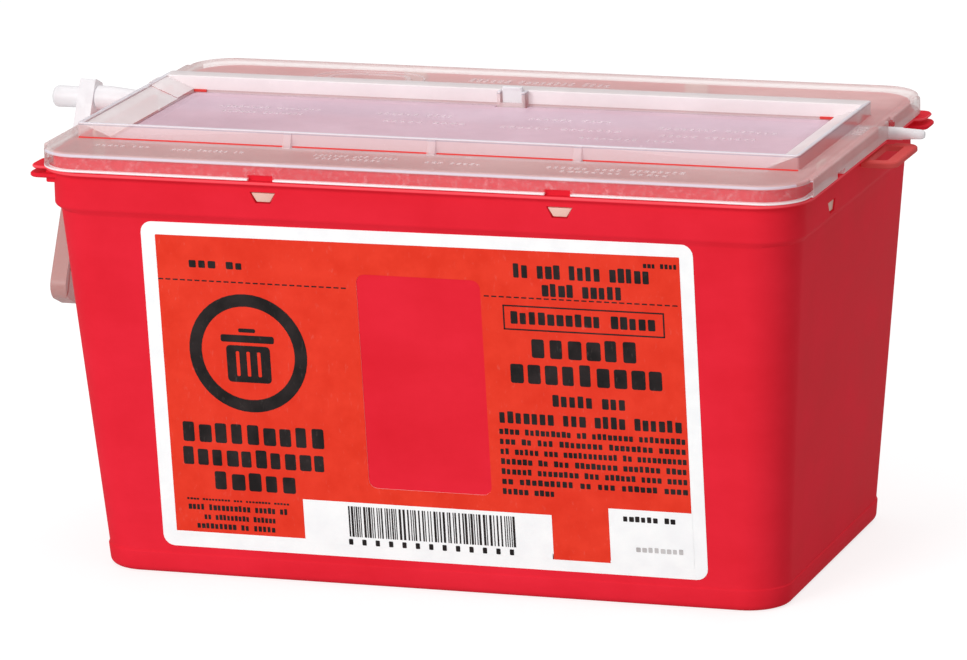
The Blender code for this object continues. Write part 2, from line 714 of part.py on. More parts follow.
def pivot_rod(clear):
    """A turned rod: spigot for the lever, tapered shoulder, journals, and a tapered stub at the right."""
    left_edge = -LID_WIDTH / 2 - SIDE_PAD
    right_edge = LID_WIDTH / 2 + SIDE_PAD / 2
    profile = [
        (HUB_PLANE - SPIGOT_LENGTH, SPIGOT_RADIUS),
        (HUB_PLANE + GAP, SPIGOT_RADIUS),
        (HUB_PLANE + GAP, SHOULDER_RADIUS),
        ((HUB_PLANE + left_edge) / 2, SHOULDER_RADIUS - MM / 2),
        (left_edge - MM, SHOULDER_NECK),
        (-LID_WIDTH / 2, ROD_RADIUS),
        (-BEARING_X + GAP, ROD_RADIUS),
        (-BEARING_X + GAP, ROD_CORE_RADIUS),
        (BEARING_X - GAP, ROD_CORE_RADIUS),
        (BEARING_X - GAP, ROD_RADIUS),
        (right_edge, ROD_RADIUS),
        (right_edge + STUB_LENGTH - MM, STUB_TIP_RADIUS + GAP),
        (right_edge + STUB_LENGTH, STUB_TIP_RADIUS / 2),
    ]
    return make_object(turned(profile), "pivot_rod", clear)


def lever_blade():
    """A paddle that leans forward from the rod and widens towards its lower end."""
    down = Vector((0, -math.sin(LEVER_LEAN), -math.cos(LEVER_LEAN)))
    across = Vector((0, -math.cos(LEVER_LEAN), math.sin(LEVER_LEAN)))
    centre = Vector((HUB_PLANE - LEVER_THICK / 2, ROD_Y, ROD_Z))
    bm = bmesh.new()
    bmesh.ops.create_cube(bm, size=1)
    for vert in bm.verts:
        lower = vert.co.z < 0
        along = LEVER_LENGTH if lower else -LEVER_HUB_TOP
        half = LEVER_END_HALF if lower else LEVER_HUB_HALF
        side = half if vert.co.y < 0 else -half
        vert.co = centre + down * along + across * side + Vector((vert.co.x * LEVER_THICK, 0, 0))
    bmesh.ops.recalc_face_normals(bm, faces=bm.faces)
    for lower, radius, segments in ((True, LEVER_END_ROUND, 6), (False, LEVER_HUB_ROUND, 3)):
        limit = ROD_Z - LEVER_LENGTH / 2
        corners = [
            edge
            for edge in bm.edges
            if abs(edge.verts[0].co.x - edge.verts[1].co.x) > LEVER_THICK / 2
            and (edge.verts[0].co.z < limit) == lower
        ]
        bmesh.ops.bevel(
            bm, geom=corners, offset=radius, segments=segments, profile=0.5, affect="EDGES",
            clamp_overlap=True
        )
    rim = [edge for edge in bm.edges if abs(edge.verts[0].co.x - edge.verts[1].co.x) < GAP]
    bmesh.ops.bevel(
        bm, geom=rim, offset=MM, segments=2, profile=0.5, affect="EDGES", clamp_overlap=True
    )
    return bm


def thumb_pin():
    outer = HUB_PLANE - LEVER_THICK
    tip = outer - THUMB_PIN_LENGTH
    profile = [(tip, THUMB_PIN_RADIUS / 2)]
    for step in range(1, 4):
        angle = step / 3 * math.pi / 2
        x = tip + THUMB_PIN_RADIUS / 2 * (1 - math.cos(angle))
        profile.append((x, THUMB_PIN_RADIUS / 2 * (1 + math.sin(angle))))
    profile.append((outer + MM, THUMB_PIN_RADIUS))
    return turned(profile)


def lever_socket():
    bottom = HUB_PLANE - SPIGOT_LENGTH - GAP
    return turned([(bottom, SPIGOT_RADIUS + GAP), (HUB_PLANE + MM, SPIGOT_RADIUS + GAP)])


def lever_handle(clear):
    lever = make_object(lever_blade(), "lever_handle", clear)
    boolean(lever, make_object(thumb_pin(), "thumb_pin"), "UNION")
    boolean(lever, make_object(lever_socket(), "lever_socket"), "DIFFERENCE")
    return lever


def lock_tab(clear):
    """A flat tab with a ridge on top, which is pushed down to lock the tray."""
    bm = bmesh.new()
    half = TAB_WIDTH / 2
    foot = PLATE_UNDER - GAP
    low = (TAB_X - half, TAB_Y - TAB_DEPTH / 2, foot)
    add_box(bm, low, (TAB_X + half, TAB_Y + TAB_DEPTH / 2, PLATE_TOP + TAB_TOP))
    return make_object(bm, "lock_tab", clear)


def label_plane():
    """Places a flat sheet, drawn in X and Y, on the tub's leaning front wall at the label's bottom."""
    rise = Vector((0, -(SHOULDER_Y - BASE_DEPTH / 2), COLLAR_BOTTOM)).normalized()
    across = Vector((1, 0, 0))
    outward = across.cross(rise)
    wall_y = -wall_half(BASE_DEPTH / 2, SHOULDER_Y, LABEL_BOTTOM)
    origin = Vector((0, wall_y, LABEL_BOTTOM)) + outward * GAP
    return Matrix.Translation(origin) @ Matrix((across, rise, outward)).transposed().to_4x4()


def front_label(paper):
    bm = bmesh.new()
    half = LABEL_WIDTH / 2
    add_box(bm, (-half, 0, 0), (half, LABEL_HEIGHT, LABEL_THICK), LABEL_CORNER)
    label = make_object(bm, "front_label", paper)
    label.matrix_world = label_plane()
    bm = bmesh.new()
    half = LABEL_WINDOW_WIDTH / 2
    low_y = LABEL_WINDOW_BOTTOM
    low = (LABEL_WINDOW_X - half, low_y, -MM)
    high = (LABEL_WINDOW_X + half, low_y + LABEL_WINDOW_HEIGHT, MM)
    add_box(bm, low, high, LABEL_WINDOW_CORNER)
    window = make_object(bm, "label_window")
    window.matrix_world = label_plane()
    boolean(label, window, "DIFFERENCE")
    return label


def hang_on_joint(name, place, pieces):
    """An empty on a joint's axis that carries the pieces which turn or slide there."""
    bpy.context.view_layer.update()
    empty = bpy.data.objects.new(name, None)
    PARTS.objects.link(empty)
    empty.location = place
    bpy.context.view_layer.update()
    for piece in pieces:
        world = piece.matrix_world.copy()
        piece.parent = empty
        piece.matrix_parent_inverse = empty.matrix_world.inverted()
        piece.matrix_world = world
    return empty


def main():
    red = material("red_polypropylene", (0.80, 0.02, 0.045), 0.42)
    clear = material("natural_polypropylene", (0.82, 0.72, 0.74), 0.38, transmission=0.5)
    paper = material("label_paper", (0.86, 0.12, 0.04), 0.35)
    container_tub(red)
    front_label(paper)
    cover = lid(clear)
    tray = drop_tray(clear)
    rod = pivot_rod(clear)
    lever = lever_handle(clear)
    tab = lock_tab(clear)
    turning = hang_on_joint("tray_pivot_axis", (0, ROD_Y, ROD_Z), [tray, rod, lever])
    hang_on_joint("lid_lift_axis", (0, 0, SKIRT_BOTTOM), [cover, turning, tab])


main()
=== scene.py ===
import bpy
import bmesh
import math
import random
from mathutils import Matrix, Vector


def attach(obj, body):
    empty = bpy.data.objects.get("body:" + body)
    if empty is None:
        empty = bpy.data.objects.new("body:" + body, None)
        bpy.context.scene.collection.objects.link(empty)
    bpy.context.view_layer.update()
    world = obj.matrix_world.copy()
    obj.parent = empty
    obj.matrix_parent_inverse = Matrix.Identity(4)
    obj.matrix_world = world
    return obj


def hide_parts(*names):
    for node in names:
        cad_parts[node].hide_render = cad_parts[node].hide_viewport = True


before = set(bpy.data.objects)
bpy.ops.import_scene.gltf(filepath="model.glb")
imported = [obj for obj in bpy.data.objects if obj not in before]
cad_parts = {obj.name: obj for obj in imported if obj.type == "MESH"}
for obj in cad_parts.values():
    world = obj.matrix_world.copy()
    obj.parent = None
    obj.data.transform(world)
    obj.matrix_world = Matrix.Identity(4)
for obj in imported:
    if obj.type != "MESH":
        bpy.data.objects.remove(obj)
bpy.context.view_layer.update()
print("frame loaded")

# all sizes below are millimetres, turned to metres when a piece is finished
toMetres = 0.001
quarter = math.pi / 2


# mesh helpers

def placeOnRing(bm, verts, ring):
    # ring: half width, half depth, corner radius, height, middle x, middle y
    halfX, halfY, corner, height, midX, midY = (tuple(ring) + (0, 0))[:6]
    signX = bm.verts.layers.float["signX"]
    signY = bm.verts.layers.float["signY"]
    turnX = bm.verts.layers.float["turnX"]
    turnY = bm.verts.layers.float["turnY"]
    for vert in verts:
        vert.co.x = midX + vert[signX] * (halfX - corner) + vert[turnX] * corner
        vert.co.y = midY + vert[signY] * (halfY - corner) + vert[turnY] * corner
        vert.co.z = height


def loft(rings, segments=8, startCap=True, endCap=True, closed=False):
    # a grid with rounded corners, extruded from ring to ring
    bm = bmesh.new()
    names = ("signX", "signY", "turnX", "turnY")
    layers = [bm.verts.layers.float.new(name) for name in names]
    bmesh.ops.create_grid(bm, x_segments=1, y_segments=1, size=2)
    bmesh.ops.bevel(bm, geom=bm.verts[:], offset=1, offset_type="OFFSET", segments=segments,
                    profile=0.5, affect="VERTICES", material=-1)
    for vert in bm.verts:
        sides = (math.copysign(1, vert.co.x), math.copysign(1, vert.co.y))
        vert[layers[0]], vert[layers[1]] = sides
        vert[layers[2]] = vert.co.x - sides[0]
        vert[layers[3]] = vert.co.y - sides[1]
    edges = bm.edges[:]
    placeOnRing(bm, bm.verts, rings[0])
    if closed or not startCap:
        bmesh.ops.delete(bm, geom=bm.faces[:], context="FACES_ONLY")
        edges = bm.edges[:]
    for ring in rings[1:]:
        grown = bmesh.ops.extrude_edge_only(bm, edges=edges)["geom"]
        verts = [item for item in grown if isinstance(item, bmesh.types.BMVert)]
        fresh = set(verts)
        edges = [item for item in grown if isinstance(item, bmesh.types.BMEdge) and fresh.issuperset(item.verts)]
        placeOnRing(bm, verts, ring)
    if closed:
        bmesh.ops.remove_doubles(bm, verts=bm.verts[:], dist=0.0005)
    elif endCap:
        bmesh.ops.contextual_create(bm, geom=edges)
    bmesh.ops.recalc_face_normals(bm, faces=bm.faces[:])
    return bm


def block(low, high, bevel=0.0, segments=2):
    bm = bmesh.new()
    size = [high[axis] - low[axis] for axis in range(3)]
    middle = [(high[axis] + low[axis]) / 2 for axis in range(3)]
    bmesh.ops.create_cube(bm, size=1, matrix=Matrix.Translation(middle) @ Matrix.Diagonal((*size, 1)))
    if bevel:
        bmesh.ops.bevel(bm, geom=bm.edges[:], offset=bevel, segments=segments, profile=0.5,
                        affect="EDGES", material=-1, clamp_overlap=True)
    return bm


def turnedOnRod(profile, steps=48):
    # (x, radius) pairs spun about the rod's axis
    bm = bmesh.new()
    last = None
    for x, radius in profile:
        vert = bm.verts.new((x, rodLine["y"] + radius, rodLine["z"]))
        if last:
            bm.edges.new((last, vert))
        last = vert
    bmesh.ops.spin(bm, geom=bm.verts[:] + bm.edges[:], cent=(0, rodLine["y"], rodLine["z"]), axis=(1, 0, 0),
                   angle=2 * math.pi, steps=steps, use_merge=True, use_duplicate=False)
    bmesh.ops.remove_doubles(bm, verts=bm.verts[:], dist=0.0005)
    bmesh.ops.holes_fill(bm, edges=[edge for edge in bm.edges if edge.is_boundary], sides=0)
    bmesh.ops.recalc_face_normals(bm, faces=bm.faces[:])
    return bm


def joinInto(bm, *others):
    for other in others:
        mesh = bpy.data.meshes.new("joining")
        other.to_mesh(mesh)
        other.free()
        bm.from_mesh(mesh)
        bpy.data.meshes.remove(mesh)
    return bm


def makeObject(name, bm, material, smoothAngle=32):
    bmesh.ops.scale(bm, vec=(toMetres, toMetres, toMetres), verts=bm.verts[:])
    mesh = bpy.data.meshes.new(name)
    bm.to_mesh(mesh)
    bm.free()
    for layer in ("signX", "signY", "turnX", "turnY"):
        if layer in mesh.attributes:
            mesh.attributes.remove(mesh.attributes[layer])
    obj = bpy.data.objects.new(name, mesh)
    bpy.context.scene.collection.objects.link(obj)
    for made in material if isinstance(material, (list, tuple)) else (material,):
        mesh.materials.append(made)
    mesh.shade_smooth()
    mesh.set_sharp_from_angle(angle=math.radians(smoothAngle))
    return obj


def carve(obj, bm, operation="DIFFERENCE", smoothAngle=32):
    # cuts or adds a shape for good, so that nothing live stays on the piece
    tool = makeObject("carvingTool", bm, [])
    modifier = obj.modifiers.new("carve", "BOOLEAN")
    modifier.operation = operation
    modifier.solver = "EXACT"
    modifier.use_self = True
    modifier.object = tool
    bpy.context.view_layer.update()
    graph = bpy.context.evaluated_depsgraph_get()
    result = bpy.data.meshes.new_from_object(obj.evaluated_get(graph))
    old = obj.data
    obj.modifiers.clear()
    obj.data = result
    result.name = obj.name
    bpy.data.meshes.remove(old)
    bpy.data.objects.remove(tool)
    obj.data.shade_smooth()
    obj.data.set_sharp_from_angle(angle=math.radians(smoothAngle))


def finishEdges(obj, width, segments=2, angle=40):
    modifier = obj.modifiers.new("edges", "BEVEL")
    modifier.width = width * toMetres
    modifier.segments = segments
    modifier.limit_method = "ANGLE"
    modifier.angle_limit = math.radians(angle)
    modifier.use_clamp_overlap = True
    modifier.harden_normals = False


# material helpers

def newGroup(name, inputs, outputs):
    group = bpy.data.node_groups.new(name, "ShaderNodeTree")
    for label, kind, value in inputs:
        socket = group.interface.new_socket(name=label, in_out="INPUT", socket_type=kind)
        socket.default_value = value
    for label, kind in outputs:
        group.interface.new_socket(name=label, in_out="OUTPUT", socket_type=kind)
    return group, group.nodes.new("NodeGroupInput"), group.nodes.new("NodeGroupOutput")


def mathNode(nodes, links, operation, first, second, clamp=False):
    node = nodes.new("ShaderNodeMath")
    node.operation = operation
    node.use_clamp = clamp
    for index, value in enumerate((first, second)):
        if isinstance(value, bpy.types.NodeSocket):
            links.new(value, node.inputs[index])
        else:
            node.inputs[index].default_value = value
    return node.outputs[0]


def spread(nodes, links, value, low, high, outLow, outHigh):
    node = nodes.new("ShaderNodeMapRange")
    links.new(value, node.inputs["Value"])
    for label, number in (("From Min", low), ("From Max", high), ("To Min", outLow), ("To Max", outHigh)):
        node.inputs[label].default_value = number
    return node.outputs["Result"]


def noiseNode(nodes, links, scale, detail=3.0, rough=0.55, stretch=None):
    place = nodes.new("ShaderNodeTexCoord").outputs["Object"]
    if stretch:
        mapping = nodes.new("ShaderNodeMapping")
        mapping.inputs["Scale"].default_value = stretch
        links.new(place, mapping.inputs["Vector"])
        place = mapping.outputs["Vector"]
    node = nodes.new("ShaderNodeTexNoise")
    node.inputs["Scale"].default_value = scale
    node.inputs["Detail"].default_value = detail
    node.inputs["Roughness"].default_value = rough
    links.new(place, node.inputs["Vector"])
    return node.outputs["Fac"]


def buildMouldSkin():
    # the skin of moulded plastic: fine grain, slow cloudiness and stray scuffs
    group, source, target = newGroup(
        "mouldSkin",
        [("Grain Depth", "NodeSocketFloat", 1.0), ("Scuff Amount", "NodeSocketFloat", 1.0)],
        [("Height", "NodeSocketFloat"), ("Cloud", "NodeSocketFloat"), ("Scuff", "NodeSocketFloat")])
    nodes, links = group.nodes, group.links
    grain = noiseNode(nodes, links, 1500, 2)
    peel = noiseNode(nodes, links, 260, 2)
    flow = noiseNode(nodes, links, 26, 4, 0.6, (0.6, 1.0, 1.8))
    cloud = noiseNode(nodes, links, 38, 5, 0.6)
    scratches = noiseNode(nodes, links, 90, 6, 0.75, (1.0, 1.0, 5.0))
    fine = mathNode(nodes, links, "MULTIPLY", grain, 0.35)
    broad = mathNode(nodes, links, "MULTIPLY", peel, 0.65)
    height = mathNode(nodes, links, "ADD", fine, broad)
    links.new(mathNode(nodes, links, "MULTIPLY", height, source.outputs["Grain Depth"]), target.inputs["Height"])
    mixed = mathNode(nodes, links, "MULTIPLY", mathNode(nodes, links, "ADD", flow, cloud), 0.5)
    links.new(spread(nodes, links, mixed, 0.32, 0.68, 0, 1), target.inputs["Cloud"])
    worn = spread(nodes, links, scratches, 0.66, 0.76, 0, 1)
    links.new(mathNode(nodes, links, "MULTIPLY", worn, source.outputs["Scuff Amount"], True), target.inputs["Scuff"])
    return group


mouldSkin = buildMouldSkin()


def startMaterial(name):
    made = bpy.data.materials.new(name)
    made.use_nodes = True
    nodes, links = made.node_tree.nodes, made.node_tree.links
    return made, nodes, links, nodes["Principled BSDF"]


def mixColours(nodes, links, factor, first, second):
    node = nodes.new("ShaderNodeMix")
    node.data_type = "RGBA"
    links.new(factor, node.inputs[0])
    for slot, colour in ((6, first), (7, second)):
        if isinstance(colour, bpy.types.NodeSocket):
            links.new(colour, node.inputs[slot])
        else:
            node.inputs[slot].default_value = (*colour, 1)
    return node.outputs[2]


def mixValues(nodes, links, factor, first, second):
    node = nodes.new("ShaderNodeMix")
    links.new(factor, node.inputs[0])
    links.new(first, node.inputs[2])
    links.new(second, node.inputs[3])
    return node.outputs[0]


def addBump(nodes, links, shader, height, strength, distance):
    bump = nodes.new("ShaderNodeBump")
    bump.inputs["Strength"].default_value = strength
    bump.inputs["Distance"].default_value = distance
    links.new(height, bump.inputs["Height"])
    links.new(bump.outputs["Normal"], shader.inputs["Normal"])


def levelMasks(nodes, links, levels):
    # one soft-edged mask per band of height: (foot, top, fade, front half only), in millimetres
    place = nodes.new("ShaderNodeTexCoord").outputs["Object"]
    split = nodes.new("ShaderNodeSeparateXYZ")
    links.new(place, split.inputs["Vector"])
    masks = []
    for foot, top, fade, front in levels:
        rising = spread(nodes, links, split.outputs["Z"], (foot - fade) * toMetres, foot * toMetres, 0, 1)
        falling = spread(nodes, links, split.outputs["Z"], top * toMetres, (top + fade) * toMetres, 1, 0)
        mask = mathNode(nodes, links, "MULTIPLY", rising, falling)
        if front:
            # a front band fades out towards the rear; it carries the painted highlight on the lid's lit front edge
            ahead = spread(nodes, links, split.outputs["Y"], -0.04, 0.06, 1, 0.15)
            mask = mathNode(nodes, links, "MULTIPLY", mask, ahead)
        masks.append(mask)
    return masks


def mouldedPlastic(name, look):
    made, nodes, links, shader = startMaterial(name)
    skin = nodes.new("ShaderNodeGroup")
    skin.node_tree = mouldSkin
    skin.inputs["Grain Depth"].default_value = look["grain"]
    skin.inputs["Scuff Amount"].default_value = look["scuffs"]
    colour = mixColours(nodes, links, skin.outputs["Cloud"], look["deep"], look["light"])
    clear = None
    if "alpha" in look:
        clear = spread(nodes, links, skin.outputs["Cloud"], 0, 1, look["alpha"][0], look["alpha"][1])
    bands = look.get("bands", ())
    levels = [(*band["level"], "front" in band) for band in bands]
    for mask, band in zip(levelMasks(nodes, links, levels), bands):
        colour = mixColours(nodes, links, mask, colour, band["colour"])
        if not clear:
            continue
        speckle = spread(nodes, links, noiseNode(nodes, links, 430, 5, 0.75), 0.52, 0.74, 0, band.get("speckle", 0))
        clear = mixValues(nodes, links, mask, clear, mathNode(nodes, links, "ADD", speckle, band["alpha"]))
    faded = mathNode(nodes, links, "MULTIPLY", skin.outputs["Scuff"], look["scuffShow"])
    colour = mixColours(nodes, links, faded, colour, look["scuffColour"])
    links.new(colour, shader.inputs["Base Color"])
    rough = spread(nodes, links, skin.outputs["Cloud"], 0, 1, look["roughness"][0], look["roughness"][1])
    links.new(mathNode(nodes, links, "ADD", rough, mathNode(nodes, links, "MULTIPLY", skin.outputs["Scuff"], 0.2)),
              shader.inputs["Roughness"])
    if clear:
        links.new(mathNode(nodes, links, "ADD", clear, mathNode(nodes, links, "MULTIPLY", faded, 0.5), True),
                  shader.inputs["Alpha"])
    if "glow" in look:
        links.new(colour, shader.inputs["Emission Color"])
        shader.inputs["Emission Strength"].default_value = look["glow"]
    shader.inputs["IOR"].default_value = 1.49
    shader.inputs["Specular IOR Level"].default_value = look["gloss"]
    addBump(nodes, links, shader, skin.outputs["Height"], look["bump"], 0.0003)
    return made


redLook = {"deep": (0.62, 0.014, 0.026), "light": (0.70, 0.020, 0.038), "scuffColour": (0.80, 0.14, 0.15),
           "scuffShow": 0.12, "grain": 1.0, "scuffs": 0.6, "roughness": (0.44, 0.54), "gloss": 0.02, "bump": 0.10,
           "glow": 0.15,
           # the band is a painted highlight: lighter red along the flange's outer edge, 141.2 to 141.8 mm up
           "bands": ({"level": (141.2, 141.8, 0.15), "colour": (0.80, 0.075, 0.095), "alpha": 1.0},)}
# painted red light: the tub's red laid on lid faces along the tray's gaps, where red light from inside the tub shows
paintedRedLightLook = {**redLook, "deep": (0.62, 0.040, 0.036), "light": (0.70, 0.060, 0.055), "glow": 0.12, "bands": ()}
lidLook = {"deep": (0.79, 0.65, 0.64), "light": (0.91, 0.76, 0.74), "scuffColour": (0.98, 0.94, 0.93),
           "scuffShow": 0.5, "grain": 1.0, "scuffs": 1.0, "roughness": (0.26, 0.40), "gloss": 0.25, "bump": 0.16,
           "alpha": (0.49, 0.57),
           "bands": ({"level": (143.0, 147.1, 0.25), "colour": (0.90, 0.48, 0.50), "alpha": 0.11, "speckle": 0.30},
                     {"level": (141.0, 142.7, 0.2), "colour": (0.98, 0.90, 0.92), "alpha": 0.80},
                     # painted highlight: a paler, less clear band along the lid's rounded top edge, strongest at the
                     # front
                     {"level": (147.45, 148.15, 0.1), "colour": (0.78, 0.74, 0.84), "alpha": 0.74, "front": True},
                     {"level": (148.75, 152.6, 0.3), "colour": (0.90, 0.70, 0.70), "alpha": 0.38},
                     # painted shade: a dark line just under the frame's rounded top edge
                     {"level": (152.72, 153.05, 0.1), "colour": (0.50, 0.47, 0.54), "alpha": 0.46},
                     # painted highlight: the frame's top faces paler and less clear
                     {"level": (153.3, 160.0, 0.12), "colour": (0.84, 0.81, 0.87), "alpha": 0.72})}
paleLook = {**lidLook, "bands": (), "deep": (0.92, 0.85, 0.86), "light": (0.99, 0.92, 0.93), "alpha": (0.74, 0.83)}
edgeLook = {**lidLook, "bands": (), "deep": (0.68, 0.50, 0.49), "light": (0.78, 0.58, 0.57), "alpha": (0.56, 0.66)}
# the raised marks are moulded in; their whiter colour is a painted highlight standing in for glints
markHighlightLook = {**lidLook, "bands": (), "deep": (0.92, 0.82, 0.84), "light": (0.98, 0.90, 0.92), "alpha": (0.20, 0.36)}
trayLook = {"deep": (0.80, 0.61, 0.72), "light": (0.92, 0.71, 0.82), "scuffColour": (0.98, 0.91, 0.96),
            "scuffShow": 0.6, "grain": 1.6, "scuffs": 1.0, "roughness": (0.30, 0.42), "gloss": 0.35, "bump": 0.3,
            "alpha": (0.56, 0.64)}
leverLook = {"deep": (0.76, 0.74, 0.76), "light": (0.86, 0.84, 0.86), "scuffColour": (0.96, 0.96, 0.96),
             "scuffShow": 0.4, "grain": 1.0, "scuffs": 0.7, "roughness": (0.30, 0.42), "gloss": 0.3, "bump": 0.12,
             "alpha": (0.66, 0.76), "glow": 0.08,
             "bands": ({"level": (60.0, 108.0, 22.0), "colour": (0.43, 0.165, 0.14), "alpha": 0.64},)}
rodLook = {**leverLook, "bands": (), "alpha": (0.72, 0.82)}
hookLook = {**rodLook, "deep": (0.72, 0.44, 0.36), "light": (0.84, 0.58, 0.50), "alpha": (0.86, 0.92)}
# painted shade: a duller, less red copy of the tub's plastic for the side loops
shadedLoopLook = {**redLook, "deep": (0.56, 0.060, 0.060), "light": (0.64, 0.090, 0.085)}

palePlastic = mouldedPlastic("palePlastic", paleLook)
edgePlastic = mouldedPlastic("edgePlastic", edgeLook)
glowPlastic = mouldedPlastic("glowPlastic", paintedRedLightLook)
shadedLoopPlastic = mouldedPlastic("shadedLoopPlastic", shadedLoopLook)
redPlastic = mouldedPlastic("redPlastic", redLook)
lidPlastic = mouldedPlastic("lidPlastic", lidLook)
markHighlightPlastic = mouldedPlastic("markHighlightPlastic", markHighlightLook)
trayPlastic = mouldedPlastic("trayPlastic", trayLook)
leverPlastic = mouldedPlastic("leverPlastic", leverLook)
rodPlastic = mouldedPlastic("rodPlastic", rodLook)
hookPlastic = mouldedPlastic("hookPlastic", hookLook)
print("plastics mixed")


def printedPaper(name, deep, light, roughness, flecks, gloss=0.45):
    # varnished label stock: slight mottling, printed-in flecks and shallow ripples
    made, nodes, links, shader = startMaterial(name)
    mottle = noiseNode(nodes, links, 120, 4)
    fibres = noiseNode(nodes, links, 900, 3, 0.6, (1.0, 1.0, 0.35))
    ripples = noiseNode(nodes, links, 22, 2, 0.4, (1.0, 1.0, 0.45))
    factor = spread(nodes, links, mottle, 0.35, 0.65, 0, 1)
    colour = mixColours(nodes, links, factor, deep, light)
    specks = mathNode(nodes, links, "MULTIPLY", spread(nodes, links, fibres, 0.62, 0.74, 0, 1), flecks)
    colour = mixColours(nodes, links, specks, colour, (0.95, 0.80, 0.72))
    links.new(colour, shader.inputs["Base Color"])
    links.new(spread(nodes, links, mottle, 0.3, 0.7, roughness, roughness + 0.1), shader.inputs["Roughness"])
    shader.inputs["Specular IOR Level"].default_value = gloss
    height = mathNode(nodes, links, "ADD", mathNode(nodes, links, "MULTIPLY", ripples, 4.0), fibres)
    addBump(nodes, links, shader, height, 0.35, 0.0001)
    return made


whiteStock = printedPaper("whiteStock", (0.92, 0.93, 0.94), (0.97, 0.98, 0.98), 0.30, 0.0)
orangeInk = printedPaper("orangeInk", (0.74, 0.036, 0.016), (0.80, 0.046, 0.022), 0.34, 0.04, 0.08)
blackInk = printedPaper("blackInk", (0.010, 0.008, 0.008), (0.024, 0.018, 0.018), 0.40, 0.03, 0.15)
greyInk = printedPaper("greyInk", (0.42, 0.40, 0.40), (0.60, 0.58, 0.58), 0.4, 0.1)
print("label inks mixed")


# tub

rodLine = {"y": 29.0, "z": 143.4, "radius": 2.2}

tubSizes = {
    "height": 146.4, "baseHalf": (120.5, 66.0), "baseCorner": 14.0, "collarHalf": (131.4, 80.4),
    "collarCorner": 16.0, "collarFoot": 129.0, "collarStep": 1.5, "collarWall": 2.4, "wall": 2.0, "floor": 2.2,
    "footRound": 2.4, "bead": 0.5, "beadTop": 7.5, "flangeTop": 142.0, "flangeThick": 1.5, "flangeReach": 2.8,
}


def wallRing(height, inset=0.0):
    part = height / tubSizes["collarFoot"]
    halves = []
    for axis in range(2):
        base = tubSizes["baseHalf"][axis]
        top = tubSizes["collarHalf"][axis] - tubSizes["collarStep"]
        halves.append(base + (top - base) * part - inset)
    corner = tubSizes["baseCorner"] + (tubSizes["collarCorner"] - tubSizes["baseCorner"]) * part
    return (*halves, max(corner - inset, 1.0), height)


def collarRing(height, inset=0.0):
    halfX, halfY = tubSizes["collarHalf"]
    return (halfX - inset, halfY - inset, tubSizes["collarCorner"] - inset, height)


def tubRings():
    rings = []
    foot, bead = tubSizes["footRound"], tubSizes["bead"]
    rings.append(wallRing(0.0, foot - bead + 3.0))
    for step in range(7):
        angle = step / 6 * quarter
        rings.append(wallRing(foot * (1 - math.cos(angle)), foot * (1 - math.sin(angle)) - bead))
    top = tubSizes["beadTop"]
    rings += [wallRing(top - 0.3, -bead), wallRing(top, -bead + 0.12), wallRing(top + 0.25, -0.1), wallRing(top + 0.7)]
    for height in (20, 35, 50, 65, 80, 95, 110, 122):
        rings.append(wallRing(height))
    collar, step = tubSizes["collarFoot"], tubSizes["collarStep"]
    rings += [wallRing(collar - step - 1.2), wallRing(collar - step - 0.5, -0.12)]
    rings += [collarRing(collar - 0.5, 0.35), collarRing(collar, 0.06), collarRing(collar + 0.6)]
    flange, thick, reach = tubSizes["flangeTop"], tubSizes["flangeThick"], tubSizes["flangeReach"]
    rings += [collarRing(flange - thick - 0.5), collarRing(flange - thick - 0.1, -0.4)]
    rings += [collarRing(flange - thick + 0.1, -reach + 0.4), collarRing(flange - thick + 0.45, -reach)]
    rings += [collarRing(flange - 0.35, -reach), collarRing(flange, -reach + 0.35), collarRing(flange, -0.3)]
    rings += [collarRing(flange + 0.35), collarRing(tubSizes["height"] - 0.4), collarRing(tubSizes["height"], 0.4)]
    wall = tubSizes["collarWall"]
    rings += [collarRing(tubSizes["height"], wall - 0.4), collarRing(tubSizes["height"] - 0.4, wall)]
    rings += [collarRing(collar, wall), wallRing(collar - 2 * step, tubSizes["wall"])]
    rings += [wallRing(60, tubSizes["wall"])]
    for part in range(5):
        angle = part / 4 * quarter
        inset = tubSizes["wall"] + 2.1 * (1 - math.cos(angle))
        rings.append(wallRing(tubSizes["floor"] + 2.1 * (1 - math.sin(angle)), inset))
    return rings


hooks = {"width": 9.1, "lowWidth": 5.2, "frontSpread": 103.5, "frontFoot": 134.2, "frontTop": 138.0,
         "sideY": -34.5, "sideFoot": 129.9, "sideTop": 133.9}


def hookPlaces():
    # centre, outward direction, foot and top of every hook window
    halfX, halfY = tubSizes["collarHalf"]
    places = []
    for side in (1, -1):
        for x in (-hooks["frontSpread"] / 2, hooks["frontSpread"] / 2):
            places.append((Vector((x, -side * halfY, 0)), Vector((0, -side, 0)), hooks["frontFoot"], hooks["frontTop"]))
        places.append((Vector((side * halfX, hooks["sideY"], 0)), Vector((side, 0, 0)), hooks["sideFoot"],
                       hooks["sideTop"]))
    return places


def wedgeAtHook(place, inner, outer, widthTop, widthFoot, foot, top, bevel=0.0):
    # a block at a hook that narrows downwards. inner and outer count from the collar's face, inwards
    centre, out, _, _ = place
    along = Vector((0, 0, 1)).cross(out)
    bm = bmesh.new()
    bmesh.ops.create_cube(bm, size=1)
    for vert in bm.verts:
        x, y, z = vert.co
        width = widthTop if z > 0 else widthFoot
        depth = inner if y < 0 else outer
        spot = centre - out * depth + along * (x * width)
        vert.co = (spot.x, spot.y, top if z > 0 else foot)
    bmesh.ops.reverse_faces(bm, faces=bm.faces[:])
    if bevel:
        bmesh.ops.bevel(bm, geom=bm.edges[:], offset=bevel, segments=2, profile=0.5, affect="EDGES",
                        material=-1, clamp_overlap=True)
    return bm


loopSizes = {"reach": 12.9, "length": 32.0, "y": 15.0, "bar": 4.4, "thick": 2.0, "top": 139.7}
finSizes = {"reach": 6.4, "more": 0.8, "length": 14.0, "y": 67.0, "thick": 1.2, "spacing": 2.7, "top": 142.0}


